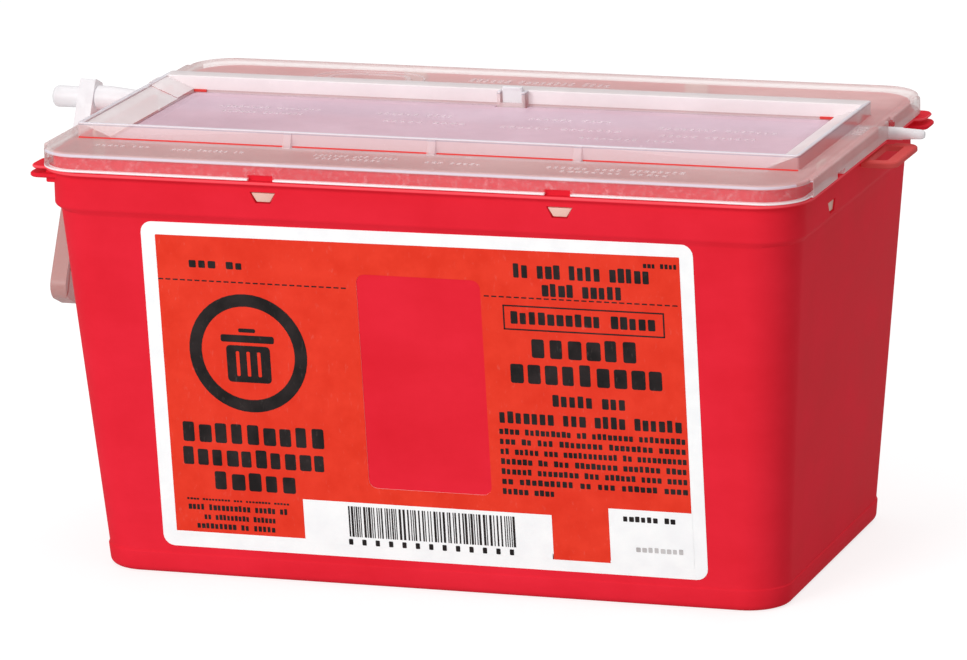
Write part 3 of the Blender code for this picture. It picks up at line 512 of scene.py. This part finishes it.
def loopLug(side):
    rootX = tubSizes["collarHalf"][0] - 1.2
    endX = tubSizes["collarHalf"][0] + loopSizes["reach"]
    midX, halfX = side * (rootX + endX) / 2, (endX - rootX) / 2
    midY, halfY = side * loopSizes["y"], loopSizes["length"] / 2
    slotLow = tubSizes["collarHalf"][0] + loopSizes["bar"] / 2
    slotHigh = endX - loopSizes["bar"]
    slotMid, slotHalf = side * (slotLow + slotHigh) / 2, (slotHigh - slotLow) / 2
    slotHalfY = halfY - loopSizes["bar"]
    low, high = loopSizes["top"] - loopSizes["thick"], loopSizes["top"]
    rings = [(slotHalf, slotHalfY, 1.2, low, slotMid, midY), (halfX - 0.4, halfY - 0.4, 4.0, low, midX, midY),
             (halfX, halfY, 4.4, low + 0.4, midX, midY), (halfX, halfY, 4.4, high - 0.4, midX, midY),
             (halfX - 0.4, halfY - 0.4, 4.0, high, midX, midY),
              (slotHalf + 0.3, slotHalfY + 0.3, 1.4, high, slotMid, midY),
             (slotHalf, slotHalfY, 1.2, high - 0.3, slotMid, midY), (slotHalf, slotHalfY, 1.2, low, slotMid, midY)]
    return loft(rings, segments=5, closed=True)


def cornerFins(side):
    bm = bmesh.new()
    rootX = tubSizes["collarHalf"][0] - tubSizes["collarCorner"] / 2
    for level in range(2):
        endX = tubSizes["collarHalf"][0] + finSizes["reach"] + level * finSizes["more"]
        top = finSizes["top"] - level * finSizes["spacing"]
        midX, halfX = side * (rootX + endX) / 2, (endX - rootX) / 2
        midY, halfY = side * finSizes["y"], finSizes["length"] / 2
        low = top - finSizes["thick"] - 0.3 * level
        joinInto(bm, loft([(halfX - 0.4, halfY - 0.4, 3.6, low, midX, midY), (halfX, halfY, 4.0, low + 0.4, midX, midY),
                           (halfX, halfY, 4.0, top - 0.4, midX, midY),
                            (halfX - 0.4, halfY - 0.4, 3.6, top, midX, midY)], 6))
    ends = sorted((side * rootX, side * (tubSizes["collarHalf"][0] + 1.2)))
    sides = sorted((side * (finSizes["y"] - 6), side * (finSizes["y"] + 5)))
    joinInto(bm, block((ends[0], sides[0], finSizes["top"] - finSizes["spacing"] - 3.4),
                       (ends[1], sides[1], finSizes["top"] - 0.6), 0.5))
    return bm


def buildTub():
    tub = makeObject("tubShell", loft(tubRings(), segments=14), (redPlastic, shadedLoopPlastic))
    lugs = joinInto(loopLug(1), loopLug(-1), cornerFins(1), cornerFins(-1))
    carve(tub, lugs, "UNION")
    inside = loft([collarRing(130.5, 2.4), collarRing(147.5, 2.4)], segments=14)
    carve(tub, inside)
    cutters = bmesh.new()
    for place in hookPlaces():
        joinInto(cutters, wedgeAtHook(place, 4.0, -1.0, hooks["width"], hooks["lowWidth"], place[2], place[3]))
    for side in (1, -1):
        ends = sorted((side * 127.0, side * 135.6))
        joinInto(cutters, block((ends[0], rodLine["y"] - 4.2, rodLine["z"] - 4.2),
                                (ends[1], rodLine["y"] + 4.2, 147.5)))
    carve(tub, cutters)
    # the side loops take the duller red of painted shade
    for face in tub.data.polygons:
        x, y, z = face.center * 1000
        if abs(x) > tubSizes["collarHalf"][0] + 0.5 and abs(y) < 32 and z < loopSizes["top"] + 0.1:
            face.material_index = 1
    finishEdges(tub, 0.18, 2, 50)
    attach(tub, "tub")
    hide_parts("container_tub")
    print("tub done", len(tub.data.polygons))


buildTub()


# label

labelSizes = {"half": 96.5, "height": 115.8, "foot": 10.3, "corner": 4.0, "windowX": 0.8, "windowHalf": 21.7,
              "windowFoot": 25.4, "windowHeight": 75.8, "windowCorner": 3.0, "layer": 0.035}


def labelPlane():
    lean = tubSizes["collarHalf"][1] - tubSizes["collarStep"] - tubSizes["baseHalf"][1]
    rise = Vector((0, -lean, tubSizes["collarFoot"])).normalized()
    across = Vector((1, 0, 0))
    outward = across.cross(rise)
    wallY = -(tubSizes["baseHalf"][1] + lean * labelSizes["foot"] / tubSizes["collarFoot"])
    spot = Vector((0, wallY, labelSizes["foot"])) + outward * 0.12
    return Matrix.Translation(spot) @ Matrix((across, rise, outward)).transposed().to_4x4()


def windowRing(height, grow=0.0):
    half = labelSizes["windowHalf"] + grow
    tall = labelSizes["windowHeight"] / 2 + grow
    return (half, tall, labelSizes["windowCorner"], height, labelSizes["windowX"],
            labelSizes["windowFoot"] + labelSizes["windowHeight"] / 2)


def patch(bm, left, right, low, high, level, slot, corner=0.0):
    # one printed area, a face on its own level
    made = bmesh.ops.create_grid(bm, x_segments=1, y_segments=1, size=1)["verts"]
    faces = {face for vert in made for face in vert.link_faces}
    bmesh.ops.scale(bm, vec=((right - left) / 2, (high - low) / 2, 1), verts=made)
    bmesh.ops.translate(bm, vec=((left + right) / 2, (low + high) / 2, level * labelSizes["layer"]), verts=made)
    for face in faces:
        face.material_index = slot
    if corner:
        bmesh.ops.bevel(bm, geom=made, offset=corner, offset_type="OFFSET", segments=3, profile=0.5,
                        affect="VERTICES", material=-1)


def blockRow(bm, left, right, low, high, words, slot=2, level=3, seed=1):
    # a row of plain blocks in groups, in place of a line of print
    rng = random.Random(seed)
    spaces = len(words) - 1
    count = sum(words)
    unit = (right - left) / (count + spaces * 0.9)
    x = left
    height = high - low
    for word in words:
        for _ in range(word):
            width = unit * rng.uniform(0.62, 0.80)
            tall = height * rng.choice((0.82, 0.82, 0.92))
            patch(bm, x, x + width, low, low + tall, level, slot, min(width, height) * 0.16)
            x += unit
        x += unit * 0.9


def roundel(bm, x, y, outer, inner, slot=2, level=3, steps=48):
    # a flat ring, one edge spun round its middle
    height = level * labelSizes["layer"]
    first = bm.verts.new((x + outer, y, height))
    second = bm.verts.new((x + inner, y, height))
    edge = bm.edges.new((first, second))
    before = set(bm.faces)
    bmesh.ops.spin(bm, geom=[first, second, edge], cent=(x, y, height), axis=(0, 0, 1), angle=2 * math.pi,
                   steps=steps, use_merge=True, use_duplicate=False)
    for face in set(bm.faces) - before:
        face.material_index = slot


def buildLabel():
    half, tall = labelSizes["half"], labelSizes["height"] / 2
    bm = loft([windowRing(-0.10, 0.0), (half, tall, labelSizes["corner"], -0.10, 0, tall),
               (half, tall, labelSizes["corner"], 0.0, 0, tall), windowRing(0.0), windowRing(-0.10)], 5, closed=True)
    level = labelSizes["layer"]
    panel = loft([windowRing(level), (91.65, 53.2, 0.4, level, 0.15, 58.1)], 5, startCap=False, endCap=False)
    for face in panel.faces:
        face.material_index = 1
        if face.normal.z < 0:
            face.normal_flip()
    joinInto(bm, panel)
    patch(bm, -45.0, 43.0, 4.2, 19.8, 2, 0)
    patch(bm, 63.0, 92.0, 4.2, 23.5, 2, 0)
    patch(bm, -92.0, -45.0, 4.4, 5.6, 2, 0)
    patch(bm, 42.6, 62.8, 4.0, 6.0, 2, 1)
    # dashed fill line
    for left, right in ((-91.4, -23.7), (23.7, 90.9)):
        x = left
        while x < right - 1:
            patch(bm, x, min(x + 1.75, right), 95.8, 96.25, 3, 2)
            x += 2.6
    # short upright row at the upper left
    blockRow(bm, -80.0, -60.0, 100.6, 103.4, [3, 2], seed=5)
    # plain pictogram: a ring round a lidded bin
    ringX, ringY = -61.0, 71.0
    roundel(bm, ringX, ringY, 21.0, 16.6)
    patch(bm, ringX - 9.5, ringX + 9.5, ringY + 3.8, ringY + 6.4, 3, 2, 0.7)
    patch(bm, ringX - 3.0, ringX + 3.0, ringY + 7.4, ringY + 8.8, 3, 2, 0.5)
    patch(bm, ringX - 7.8, ringX + 7.8, ringY - 10.4, ringY + 2.7, 3, 2, 1.4)
    for offset in (-4.4, -0.6, 3.2):
        patch(bm, ringX + offset, ringX + offset + 1.2, ringY - 8.2, ringY + 0.6, 4, 1, 0.4)
    # three bold rows at the left
    blockRow(bm, -86.5, -34.5, 38.3, 46.0, [9], seed=11)
    blockRow(bm, -87.0, -34.8, 30.0, 37.0, [10], seed=12)
    blockRow(bm, -76.2, -45.7, 21.5, 28.6, [5], seed=13)
    # small rows at the lower left
    blockRow(bm, -86.8, -49.8, 17.2, 18.0, [4, 9, 3, 8, 5], seed=14)
    blockRow(bm, -86.5, -50.5, 13.7, 16.0, [4, 10, 5, 2], seed=15)
    blockRow(bm, -81.0, -55.0, 10.3, 12.4, [2, 9, 6], seed=16)
    blockRow(bm, -83.8, -55.3, 7.0, 9.1, [9, 2, 5], seed=17)
    # rows at the right
    blockRow(bm, 34.4, 81.8, 103.0, 108.4, [2, 3, 4, 5], seed=21)
    blockRow(bm, 44.0, 72.2, 96.9, 101.8, [4, 5], seed=22)
    blockRow(bm, 79.3, 91.2, 108.6, 110.4, [3, 4], seed=23)
    for left, right, low, high in ((30.0, 85.7, 92.8, 93.3), (30.0, 85.7, 84.6, 85.1), (30.0, 30.5, 84.6, 93.3),
                                   (85.2, 85.7, 84.6, 93.3)):
        patch(bm, left, right, low, high, 3, 2)
    blockRow(bm, 32.6, 83.2, 86.8, 91.6, [10, 5], seed=24)
    blockRow(bm, 39.3, 77.3, 75.2, 83.2, [6], seed=25)
    blockRow(bm, 31.5, 85.4, 66.0, 74.2, [9], seed=26)
    blockRow(bm, 45.6, 71.5, 58.4, 62.9, [5, 3], seed=27)
    blockRow(bm, 26.7, 90.5, 51.6, 56.2, [7, 3, 4, 6], seed=28)
    rows = ([4, 9, 2, 8, 9], [3, 2, 3, 8, 8, 5], [2, 5, 3, 11, 2, 10], [6, 2, 3, 8, 7, 4], [6, 8, 3, 6, 4, 4],
            [2, 9, 2, 3, 6, 4])
    for index, words in enumerate(rows):
        top = 49.9 - 3.55 * index
        blockRow(bm, 26.4, 91.4, top - 2.3, top, words, seed=30 + index)
    blockRow(bm, 26.4, 45.0, 26.3, 28.6, [5, 4], seed=40)
    # plain stripes with blocks below them
    rng = random.Random(7)
    x = -29.0
    while x < 29.4:
        width = rng.choice((0.35, 0.35, 0.55, 0.8))
        patch(bm, x, x + width, 7.4, 18.4, 4, 2)
        x += width + rng.choice((0.3, 0.4, 0.6, 0.8))
    for index in range(13):
        x = -29.4 + index * 4.75
        patch(bm, x, x + 1.5, 4.5, 6.6, 4, 2, 0.3)
    blockRow(bm, 68.0, 86.5, 19.2, 21.4, [6, 2], seed=41, level=4)
    blockRow(bm, 72.0, 89.0, 8.6, 10.6, [8], seed=42, level=4, slot=3)
    # the upper edge was cut a little askew
    for vert in bm.verts:
        if vert.co.y > labelSizes["height"] - 5:
            vert.co.y += 0.3 + (vert.co.x + half) / (2 * half) * 1.3
    bmesh.ops.transform(bm, matrix=labelPlane(), verts=bm.verts[:])
    label = makeObject("wrapLabel", bm, (whiteStock, orangeInk, blackInk, greyInk))
    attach(label, "tub")
    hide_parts("front_label")
    print("label done", len(label.data.polygons))


buildLabel()


# lid

lidSizes = {"half": (133.5, 82.5), "corner": 15.0, "top": 148.55, "under": 146.7, "skirtFoot": 142.05, "skirtWall": 1.5,
            "frameHalf": (126.8, 44.75), "frameY": -11.75, "frameTop": 153.55, "insideHalf": (125.3, 40.1),
            "insideY": -14.9, "openingHalf": 115.5, "pad": 1.3,
            "ear": (125.8, 128.8), "endBlock": (110.9, 115.4)}


def lidRing(height, inset=0.0):
    return (lidSizes["half"][0] - inset, lidSizes["half"][1] - inset, lidSizes["corner"] - inset, height)


def lidRings():
    foot, wall, top, under = (lidSizes[name] for name in ("skirtFoot", "skirtWall", "top", "under"))
    rings = [lidRing(foot, wall), lidRing(foot, 0.25), lidRing(foot + 0.2, -0.15), lidRing(foot + 0.75, -0.15),
             lidRing(foot + 1.0, 0.0)]
    for step in range(6):
        angle = step / 5 * quarter
        rings.append(lidRing(top - 1.1 * (1 - math.sin(angle)), 1.1 * (1 - math.cos(angle))))
    rings += [lidRing(top, 2.4), lidRing(top - 0.22, 2.8)]
    halfX, halfY = lidSizes["frameHalf"]
    midY = lidSizes["frameY"]
    rings += [(halfX + 0.4, halfY + 0.4, 1.6, top - 0.22, 0, midY), (halfX, halfY, 1.2, top + 0.2, 0, midY)]
    peak = lidSizes["frameTop"]
    rings += [(halfX, halfY, 1.2, peak - 0.35, 0, midY), (halfX - 0.1, halfY - 0.1, 1.1, peak - 0.1, 0, midY),
              (halfX - 0.35, halfY - 0.35, 0.9, peak, 0, midY)]
    inX, inY = lidSizes["insideHalf"]
    inMid = lidSizes["insideY"]
    rings += [(inX + 0.3, inY + 0.3, 0.8, peak, 0, inMid), (inX, inY, 0.6, peak - 0.3, 0, inMid),
              (inX, inY, 0.6, top + 0.3, 0, inMid), (inX - 0.3, inY, 0.6, top, 0, inMid)]
    openX = lidSizes["openingHalf"]
    rings += [(openX + 0.3, inY, 0.8, top, 0, inMid), (openX, inY, 0.6, top - 0.3, 0, inMid),
              (openX, inY, 0.6, under, 0, inMid)]
    rings += [lidRing(under, wall), lidRing(foot, wall)]
    return rings


def frontRib(x):
    # a gusset against the frame's front wall
    bm = block((x - 1.5, -58.9, 148.0), (x + 1.5, -55.6, 153.2))
    for vert in bm.verts:
        if vert.co.y < -58 and vert.co.z > 150:
            vert.co.y = -56.85
    bmesh.ops.bevel(bm, geom=bm.edges[:], offset=0.3, segments=2, profile=0.5, affect="EDGES", material=-1)
    return bm


def innerSlope(side, front, rear, rise=0.0):
    # from the top of a side wall of the frame down to the edge of the opening
    ends = sorted((side * 125.9, side * 115.6))
    bm = block((ends[0], front, 147.6), (ends[1], rear, 152.9 + rise))
    for vert in bm.verts:
        if abs(vert.co.x) < 120 and vert.co.z > 150:
            vert.co.z = 148.72 + rise
    bmesh.ops.bevel(bm, geom=bm.edges[:], offset=0.12 + rise * 0.3, segments=2, profile=0.5,
                    affect="EDGES", material=-1)
    return bm


def raisedDashes(left, right, y, words, tall, depth=0.22, seed=3, base=148.33):
    # raised moulding marks without meaning, in short groups
    bm = bmesh.new()
    rng = random.Random(seed)
    unit = (right - left) / (sum(words) + 0.9 * (len(words) - 1))
    x = left
    for word in words:
        for _ in range(word):
            width = unit * rng.uniform(0.45, 0.7)
            high = tall * rng.uniform(0.6, 1.0)
            joinInto(bm, block((x, y, base - 0.1), (x + width, y + high, base + depth), 0.08, 1))
            x += unit
        x += 0.9 * unit
    return bm


def ovalRing(x, y, halfX, halfY, width, base=148.33, tall=0.3):
    outer = (halfX, halfY, min(halfX, halfY) - 0.01)
    inner = (halfX - width, halfY - width, min(halfX, halfY) - width - 0.01)
    return loft([(*inner, base - 0.1, x, y), (*outer, base - 0.1, x, y), (*outer, base + tall, x, y),
                 (*inner, base + tall, x, y), (*inner, base - 0.1, x, y)], 10, closed=True)


def sidePads():
    bm = bmesh.new()
    top, foot = lidSizes["top"] - 0.12, lidSizes["skirtFoot"]
    for side in (1, -1):
        ends = sorted((side * (lidSizes["half"][0] - 1.3), side * (lidSizes["half"][0] + lidSizes["pad"])))
        for low, high in ((-67.5, rodLine["y"] - 3.2), (rodLine["y"] + 3.2, 67.5)):
            joinInto(bm, block((ends[0], low, foot), (ends[1], high, top), 0.7, 4))
    return bm


def buildLid():
    lid = makeObject("lidShell", loft(lidRings(), segments=14, closed=True),
                     (lidPlastic, glowPlastic, palePlastic, edgePlastic))
    hollow = block((-123.8, 26.5, 146.0), (123.8, 31.5, 152.2), 0.3)
    carve(lid, hollow)
    extras = joinInto(innerSlope(1, -55.6, 25.6), innerSlope(-1, -55.6, 25.6))
    carve(lid, extras, "UNION")
    extras = joinInto(innerSlope(-1, 9.3, 25.6, 0.38), block((-132.6, 24.6, 147.6), (-123.7, 33.4, 150.9), 0.9, 3))
    for x in (-51, 0, 51):
        joinInto(extras, frontRib(x))
    pocket = joinInto(bmesh.new(), block((-3.1, 21.4, 146.7), (7.1, 26.0, 153.5), 0.2))
    joinInto(extras, pocket, sidePads())
    # the two bearing ears
    for side in (1, -1):
        ends = sorted((side * lidSizes["ear"][0], side * lidSizes["ear"][1]))
        joinInto(extras, block((ends[0], 24.8, 139.2), (ends[1], 33.2, 147.3), 0.4))
    carve(lid, extras, "UNION")
    cutters = joinInto(block((-1.9, 22.6, 145.5), (5.9, 25.2, 156.0)), block((-1.9, 20.0, 149.6), (5.9, 23.9, 156.0)))
    joinInto(cutters, turnedOnRod([(-131.5, 2.35), (131.5, 2.35)], 32))
    for side in (1, -1):
        ends = sorted((side * 131.8, side * 136.5))
        joinInto(cutters, block((ends[0], rodLine["y"] - 4.2, 141.0), (ends[1], rodLine["y"] + 4.2, 146.6)))
    for place in hookPlaces():
        joinInto(cutters, wedgeAtHook(place, -0.3, -5.0, hooks["width"], hooks["width"], 141.0, 144.2))
    carve(lid, cutters)
    # the small blocks behind the tray's rear corners, whose faces carry painted red light from the tub
    for side in (-1, 1):
        ends = sorted((side * lidSizes["endBlock"][0], side * lidSizes["endBlock"][1]))
        carve(lid, block((ends[0], 24.6, 148.1), (ends[1], 25.4, 148.95)), "UNION")
    for face in lid.data.polygons:
        x, y, z = face.center * 1000
        inFront = abs(x) < 127 and abs(y + 56.75) < 0.3 and 148.34 < z < 148.68
        inRear = 24.4 < y < 25.19 and 110.0 < abs(x) < 116 and 148.0 < z < 149.4
        onSlope = 115.4 < abs(x) < 125.2 and -55.2 < y < 25.3 and z > 148.6 and face.normal.z > 0.4
        onBeam = 25.0 < y < 33.4 and z > 148.75
        onEdge = abs(x) > 134.3 or (abs(x) > 130.9 or y > 79.4) and z > 147.4 or x < -130.9 and z > 143.2
        # faces at the foot of the frame's front wall and on the rear blocks take the painted red light
        if inFront or inRear:
            face.material_index = 1
        elif onSlope or onBeam:
            face.material_index = 2
        elif onEdge:
            face.material_index = 3
    finishEdges(lid, 0.15, 2, 50)
    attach(lid, "lid")
    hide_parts("lid")
    print("lid done", len(lid.data.polygons))

    marks = raisedDashes(-116, -96, -67.6, [5, 3], 2.0, seed=61)
    joinInto(marks, raisedDashes(-88, -62, -69.0, [4, 6, 2], 2.2, seed=62),
             raisedDashes(-38, -8, -68.0, [7, 3, 5], 2.6, seed=63), raisedDashes(-36, -12, -72.2, [4, 6], 2.2, seed=64),
             raisedDashes(2, 22, -70.4, [3, 5], 2.4, seed=65), raisedDashes(44, 92, -69.5, [6, 4, 8], 2.8, seed=66),
             raisedDashes(50, 88, -74.2, [8, 5], 2.2, seed=67),
             raisedDashes(-26, 26, 59.0, [6, 8, 4], 5.0, 0.3, seed=68),
             raisedDashes(-24, 18, 51.0, [5, 7], 4.6, 0.3, seed=69), ovalRing(-62, 56, 15.5, 8.5, 1.6),
             ovalRing(-62, 56, 20.5, 12.0, 0.8))
    for index in range(4):
        y = 1.5 + index * 3.1
        joinInto(marks, block((127.9, y, 148.2), (132.0, y + 0.9, 148.75), 0.2, 1))
    raised = makeObject("lidMarks", marks, markHighlightPlastic)
    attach(raised, "lid")

    noses = bmesh.new()
    for place in hookPlaces():
        joinInto(noses, wedgeAtHook(place, 2.9, 0.5, hooks["width"] - 0.7, hooks["lowWidth"] - 0.6, place[2] + 0.4,
                                    place[3] - 0.4, 0.25))
        joinInto(noses, wedgeAtHook(place, 4.2, 2.8, hooks["width"] - 0.7, hooks["width"] - 2.5, place[2] + 0.4,
                                    147.0, 0.25))
    clips = makeObject("lidHooks", noses, hookPlastic)
    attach(clips, "lid")


buildLid()


# tray, rod, lever and lock tab

traySizes = {"half": 114.9, "front": -53.4, "rear": 23.6, "top": 148.2, "thick": 1.8, "corner": 2.0}


def buildTray():
    midY = (traySizes["front"] + traySizes["rear"]) / 2
    halfY = (traySizes["rear"] - traySizes["front"]) / 2
    half, corner, top = traySizes["half"], traySizes["corner"], traySizes["top"]
    under = top - traySizes["thick"]
    rings = [(half - 0.3, halfY - 0.3, corner, under, 0, midY), (half, halfY, corner, under + 0.3, 0, midY),
             (half, halfY, corner, top - 0.4, 0, midY), (half - 0.12, halfY - 0.12, corner, top - 0.1, 0, midY),
             (half - 0.4, halfY - 0.4, corner, top, 0, midY), (half - 3.0, halfY - 3.0, corner, top, 0, midY),
             (half - 3.4, halfY - 3.4, corner, top - 0.2, 0, midY)]
    tray = makeObject("trayPanel", loft(rings, 6), trayPlastic)
    extras = joinInto(block((-125.0, 18.6, 142.65), (125.0, 29.0, 144.15), 0.2),
                      block((-113.9, 22.1, 143.4), (113.9, 23.5, 147.0), 0.2),
                      turnedOnRod([(-125.0, 2.3), (125.0, 2.3)], 32))
    carve(tray, extras, "UNION")
    cutters = joinInto(turnedOnRod([(-127, 1.5), (127, 1.5)], 32), block((-127, 27.9, 139.0), (127, 30.1, 143.4)),
                       block((-2.2, 22.3, 140.0), (6.2, 25.5, 146.7)), block((-3.7, 20.8, 144.3), (7.7, 25.0, 149.5)))
    carve(tray, cutters)
    finishEdges(tray, 0.15, 2, 50)
    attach(tray, "tray")
    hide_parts("drop_tray")
    marks = bmesh.new()
    rng = random.Random(81)
    for index, (left, right, y) in enumerate(((-98, -60, 3), (-94, -64, -5), (-40, -12, 2), (-34, -4, -9), (14, 44, 4),
                                              (8, 52, -10), (62, 104, -2), (66, 100, -13), (40, 74, -22))):
        joinInto(marks, raisedDashes(left, right, y, [rng.choice((5, 6, 8)), rng.choice((4, 7))], 2.6, 0.18, 90 + index,
                                     traySizes["top"] - 0.2))
    raised = makeObject("trayMarks", marks, markHighlightPlastic)
    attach(raised, "tray")
    print("tray done", len(tray.data.polygons))


buildTray()

leverSizes = {"plane": -153.6, "thick": 5.8, "length": 73.0, "lean": 24.0, "hubTop": 6.1, "hubHalf": 3.8,
              "endHalf": 9.5, "endRound": 6.0, "pin": 10.3, "pinRadius": 3.8}


def buildRod():
    plane = leverSizes["plane"]
    radius = rodLine["radius"]
    profile = [(plane - 3.6, 0.0), (plane - 3.6, 1.7), (plane - 3.3, 2.0), (plane + 0.3, 2.0), (plane + 0.3, 3.9),
               (plane + 0.8, 4.4), (plane + 4.5, 4.35), (plane + 9.4, 3.9), (-135.8, 3.0), (-133.5, 2.3),
               (-133.2, radius), (-128.9, radius), (-125.5, radius), (-125.5, 1.4), (125.5, 1.4), (125.5, radius),
               (134.15, radius),
               (138.6, 2.16), (139.0, 1.95), (145.2, 1.65), (145.7, 1.5), (146.35, 1.1), (146.55, 0.0)]
    rod = makeObject("pivotShaft", turnedOnRod(profile), rodPlastic)
    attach(rod, "tray")
    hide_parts("pivot_rod")


def buildLever():
    lean = math.radians(leverSizes["lean"])
    down = Vector((0, -math.sin(lean), -math.cos(lean)))
    across = Vector((0, -math.cos(lean), math.sin(lean)))
    thick, length = leverSizes["thick"], leverSizes["length"]
    centre = Vector((leverSizes["plane"] - thick / 2, rodLine["y"], rodLine["z"]))
    bm = bmesh.new()
    bmesh.ops.create_cube(bm, size=1)
    for vert in bm.verts:
        lower = vert.co.z < 0
        along = length if lower else -leverSizes["hubTop"]
        half = leverSizes["endHalf"] if lower else leverSizes["hubHalf"]
        side = half if vert.co.y < 0 else -half
        vert.co = centre + down * along + across * side + Vector((vert.co.x * thick, 0, 0))
    bmesh.ops.recalc_face_normals(bm, faces=bm.faces[:])
    limit = rodLine["z"] - length / 2
    for lower, radius, segments in ((True, leverSizes["endRound"], 10), (False, 1.2, 4)):
        corners = [edge for edge in bm.edges if abs(edge.verts[0].co.x - edge.verts[1].co.x) > thick / 2
                   and (edge.verts[0].co.z < limit) == lower]
        bmesh.ops.bevel(bm, geom=corners, offset=radius, segments=segments, profile=0.5, affect="EDGES", material=-1)
    # a shallow dished face on the outer side
    outer = [face for face in bm.faces if face.normal.x < -0.9]
    bmesh.ops.inset_region(bm, faces=outer, thickness=1.3, depth=0.0)
    bmesh.ops.inset_region(bm, faces=outer, thickness=0.5, depth=-0.7)
    lever = makeObject("leverPaddle", bm, leverPlastic)
    start = leverSizes["plane"] - thick
    tip = start - leverSizes["pin"]
    bulge = leverSizes["pinRadius"] / 2
    pin = [(tip, 0.0), (tip, bulge)]
    for step in range(1, 6):
        angle = step / 5 * quarter
        pin.append((tip + bulge * (1 - math.cos(angle)), bulge + bulge * math.sin(angle)))
    pin += [(start - 0.4, 3.75), (start + 1.4, 3.75), (start + 1.4, 0.0)]
    carve(lever, turnedOnRod(pin), "UNION")
    carve(lever, turnedOnRod([(leverSizes["plane"] - 3.9, 2.3), (leverSizes["plane"] + 1, 2.3)], 32))
    finishEdges(lever, 0.5, 3, 50)
    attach(lever, "tray")
    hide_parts("lever_handle")
    print("lever done", len(lever.data.polygons))


def buildLockTab():
    bm = block((-1.6, 22.9, 146.4), (5.6, 24.9, 155.05), 0.35, 3)
    joinInto(bm, block((-1.2, 22.65, 153.9), (5.2, 25.0, 154.9), 0.2))
    tab = makeObject("lockTab", bm, rodPlastic)
    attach(tab, "lock")
    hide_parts("lock_tab")


buildRod()
buildLever()
buildLockTab()
print("moving pieces done")


# studio

def buildFloor():
    bm = bmesh.new()
    bmesh.ops.create_grid(bm, x_segments=4, y_segments=4, size=6000)
    bmesh.ops.translate(bm, vec=(0, 0, -0.05), verts=bm.verts[:])
    made, nodes, links, shader = startMaterial("studioFloor")
    soft = noiseNode(nodes, links, 3, 3)
    links.new(mixColours(nodes, links, soft, (0.30, 0.30, 0.30), (0.34, 0.34, 0.34)), shader.inputs["Base Color"])
    links.new(mixColours(nodes, links, soft, (0.96, 0.96, 0.96), (1.0, 1.0, 1.0)), shader.inputs["Emission Color"])
    seen = nodes.new("ShaderNodeLightPath").outputs["Is Camera Ray"]
    links.new(spread(nodes, links, seen, 0, 1, 0.22, 0.78), shader.inputs["Emission Strength"])
    shader.inputs["Roughness"].default_value = 0.9
    shader.inputs["Specular IOR Level"].default_value = 0.05
    addBump(nodes, links, shader, soft, 0.02, 0.001)
    floor = makeObject("studioFloor", bm, made)


def addSoftLight(name, place, aim, size, power, colour=(1, 1, 1)):
    light = bpy.data.lights.new(name, "AREA")
    light.shape = "RECTANGLE"
    light.size, light.size_y = size
    light.energy = power
    light.color = colour
    obj = bpy.data.objects.new(name, light)
    obj.location = place
    obj.rotation_euler = (Vector(aim) - Vector(place)).to_track_quat("-Z", "Y").to_euler()
    bpy.context.scene.collection.objects.link(obj)


def buildWorld():
    world = bpy.data.worlds.new("studio")
    world.use_nodes = True
    nodes, links = world.node_tree.nodes, world.node_tree.links
    sky = nodes["Background"]
    sky.inputs["Color"].default_value = (1, 1, 1, 1)
    path = nodes.new("ShaderNodeLightPath")
    node = nodes.new("ShaderNodeMapRange")
    node.inputs["To Min"].default_value = 0.39
    node.inputs["To Max"].default_value = 1.0
    links.new(path.outputs["Is Camera Ray"], node.inputs["Value"])
    links.new(node.outputs["Result"], sky.inputs["Strength"])
    bpy.context.scene.world = world


def buildCamera():
    right = Vector((0.94861506, 0.31549899, -0.02428685))
    up = Vector((-0.05234232, 0.23214603, 0.97127159))
    back = Vector((0.3120733, -0.92009163, 0.23673117))
    camera = bpy.data.cameras.new("studioCamera")
    camera.sensor_width = 36
    camera.lens = 6774.898 / 967 * 36
    camera.clip_start = 0.05
    camera.clip_end = 60
    obj = bpy.data.objects.new("studioCamera", camera)
    turn = Matrix((right, up, back)).transposed().to_4x4()
    obj.matrix_world = Matrix.Translation((0.72205, -2.13688, 0.62422)) @ turn
    bpy.context.scene.collection.objects.link(obj)
    bpy.context.scene.camera = obj


buildFloor()
buildWorld()
buildCamera()
addSoftLight("keyLight", (-0.95, -2.5, 1.05), (0, 0, 0.08), (1.4, 1.2), 56)
addSoftLight("topLight", (0.1, 0.2, 2.0), (0, 0, 0.1), (2.0, 1.6), 18)
addSoftLight("backLight", (0.6, 1.9, 1.4), (0, 0, 0.1), (1.6, 1.0), 6)
bpy.context.scene.view_settings.view_transform = "Standard"
print("studio done")
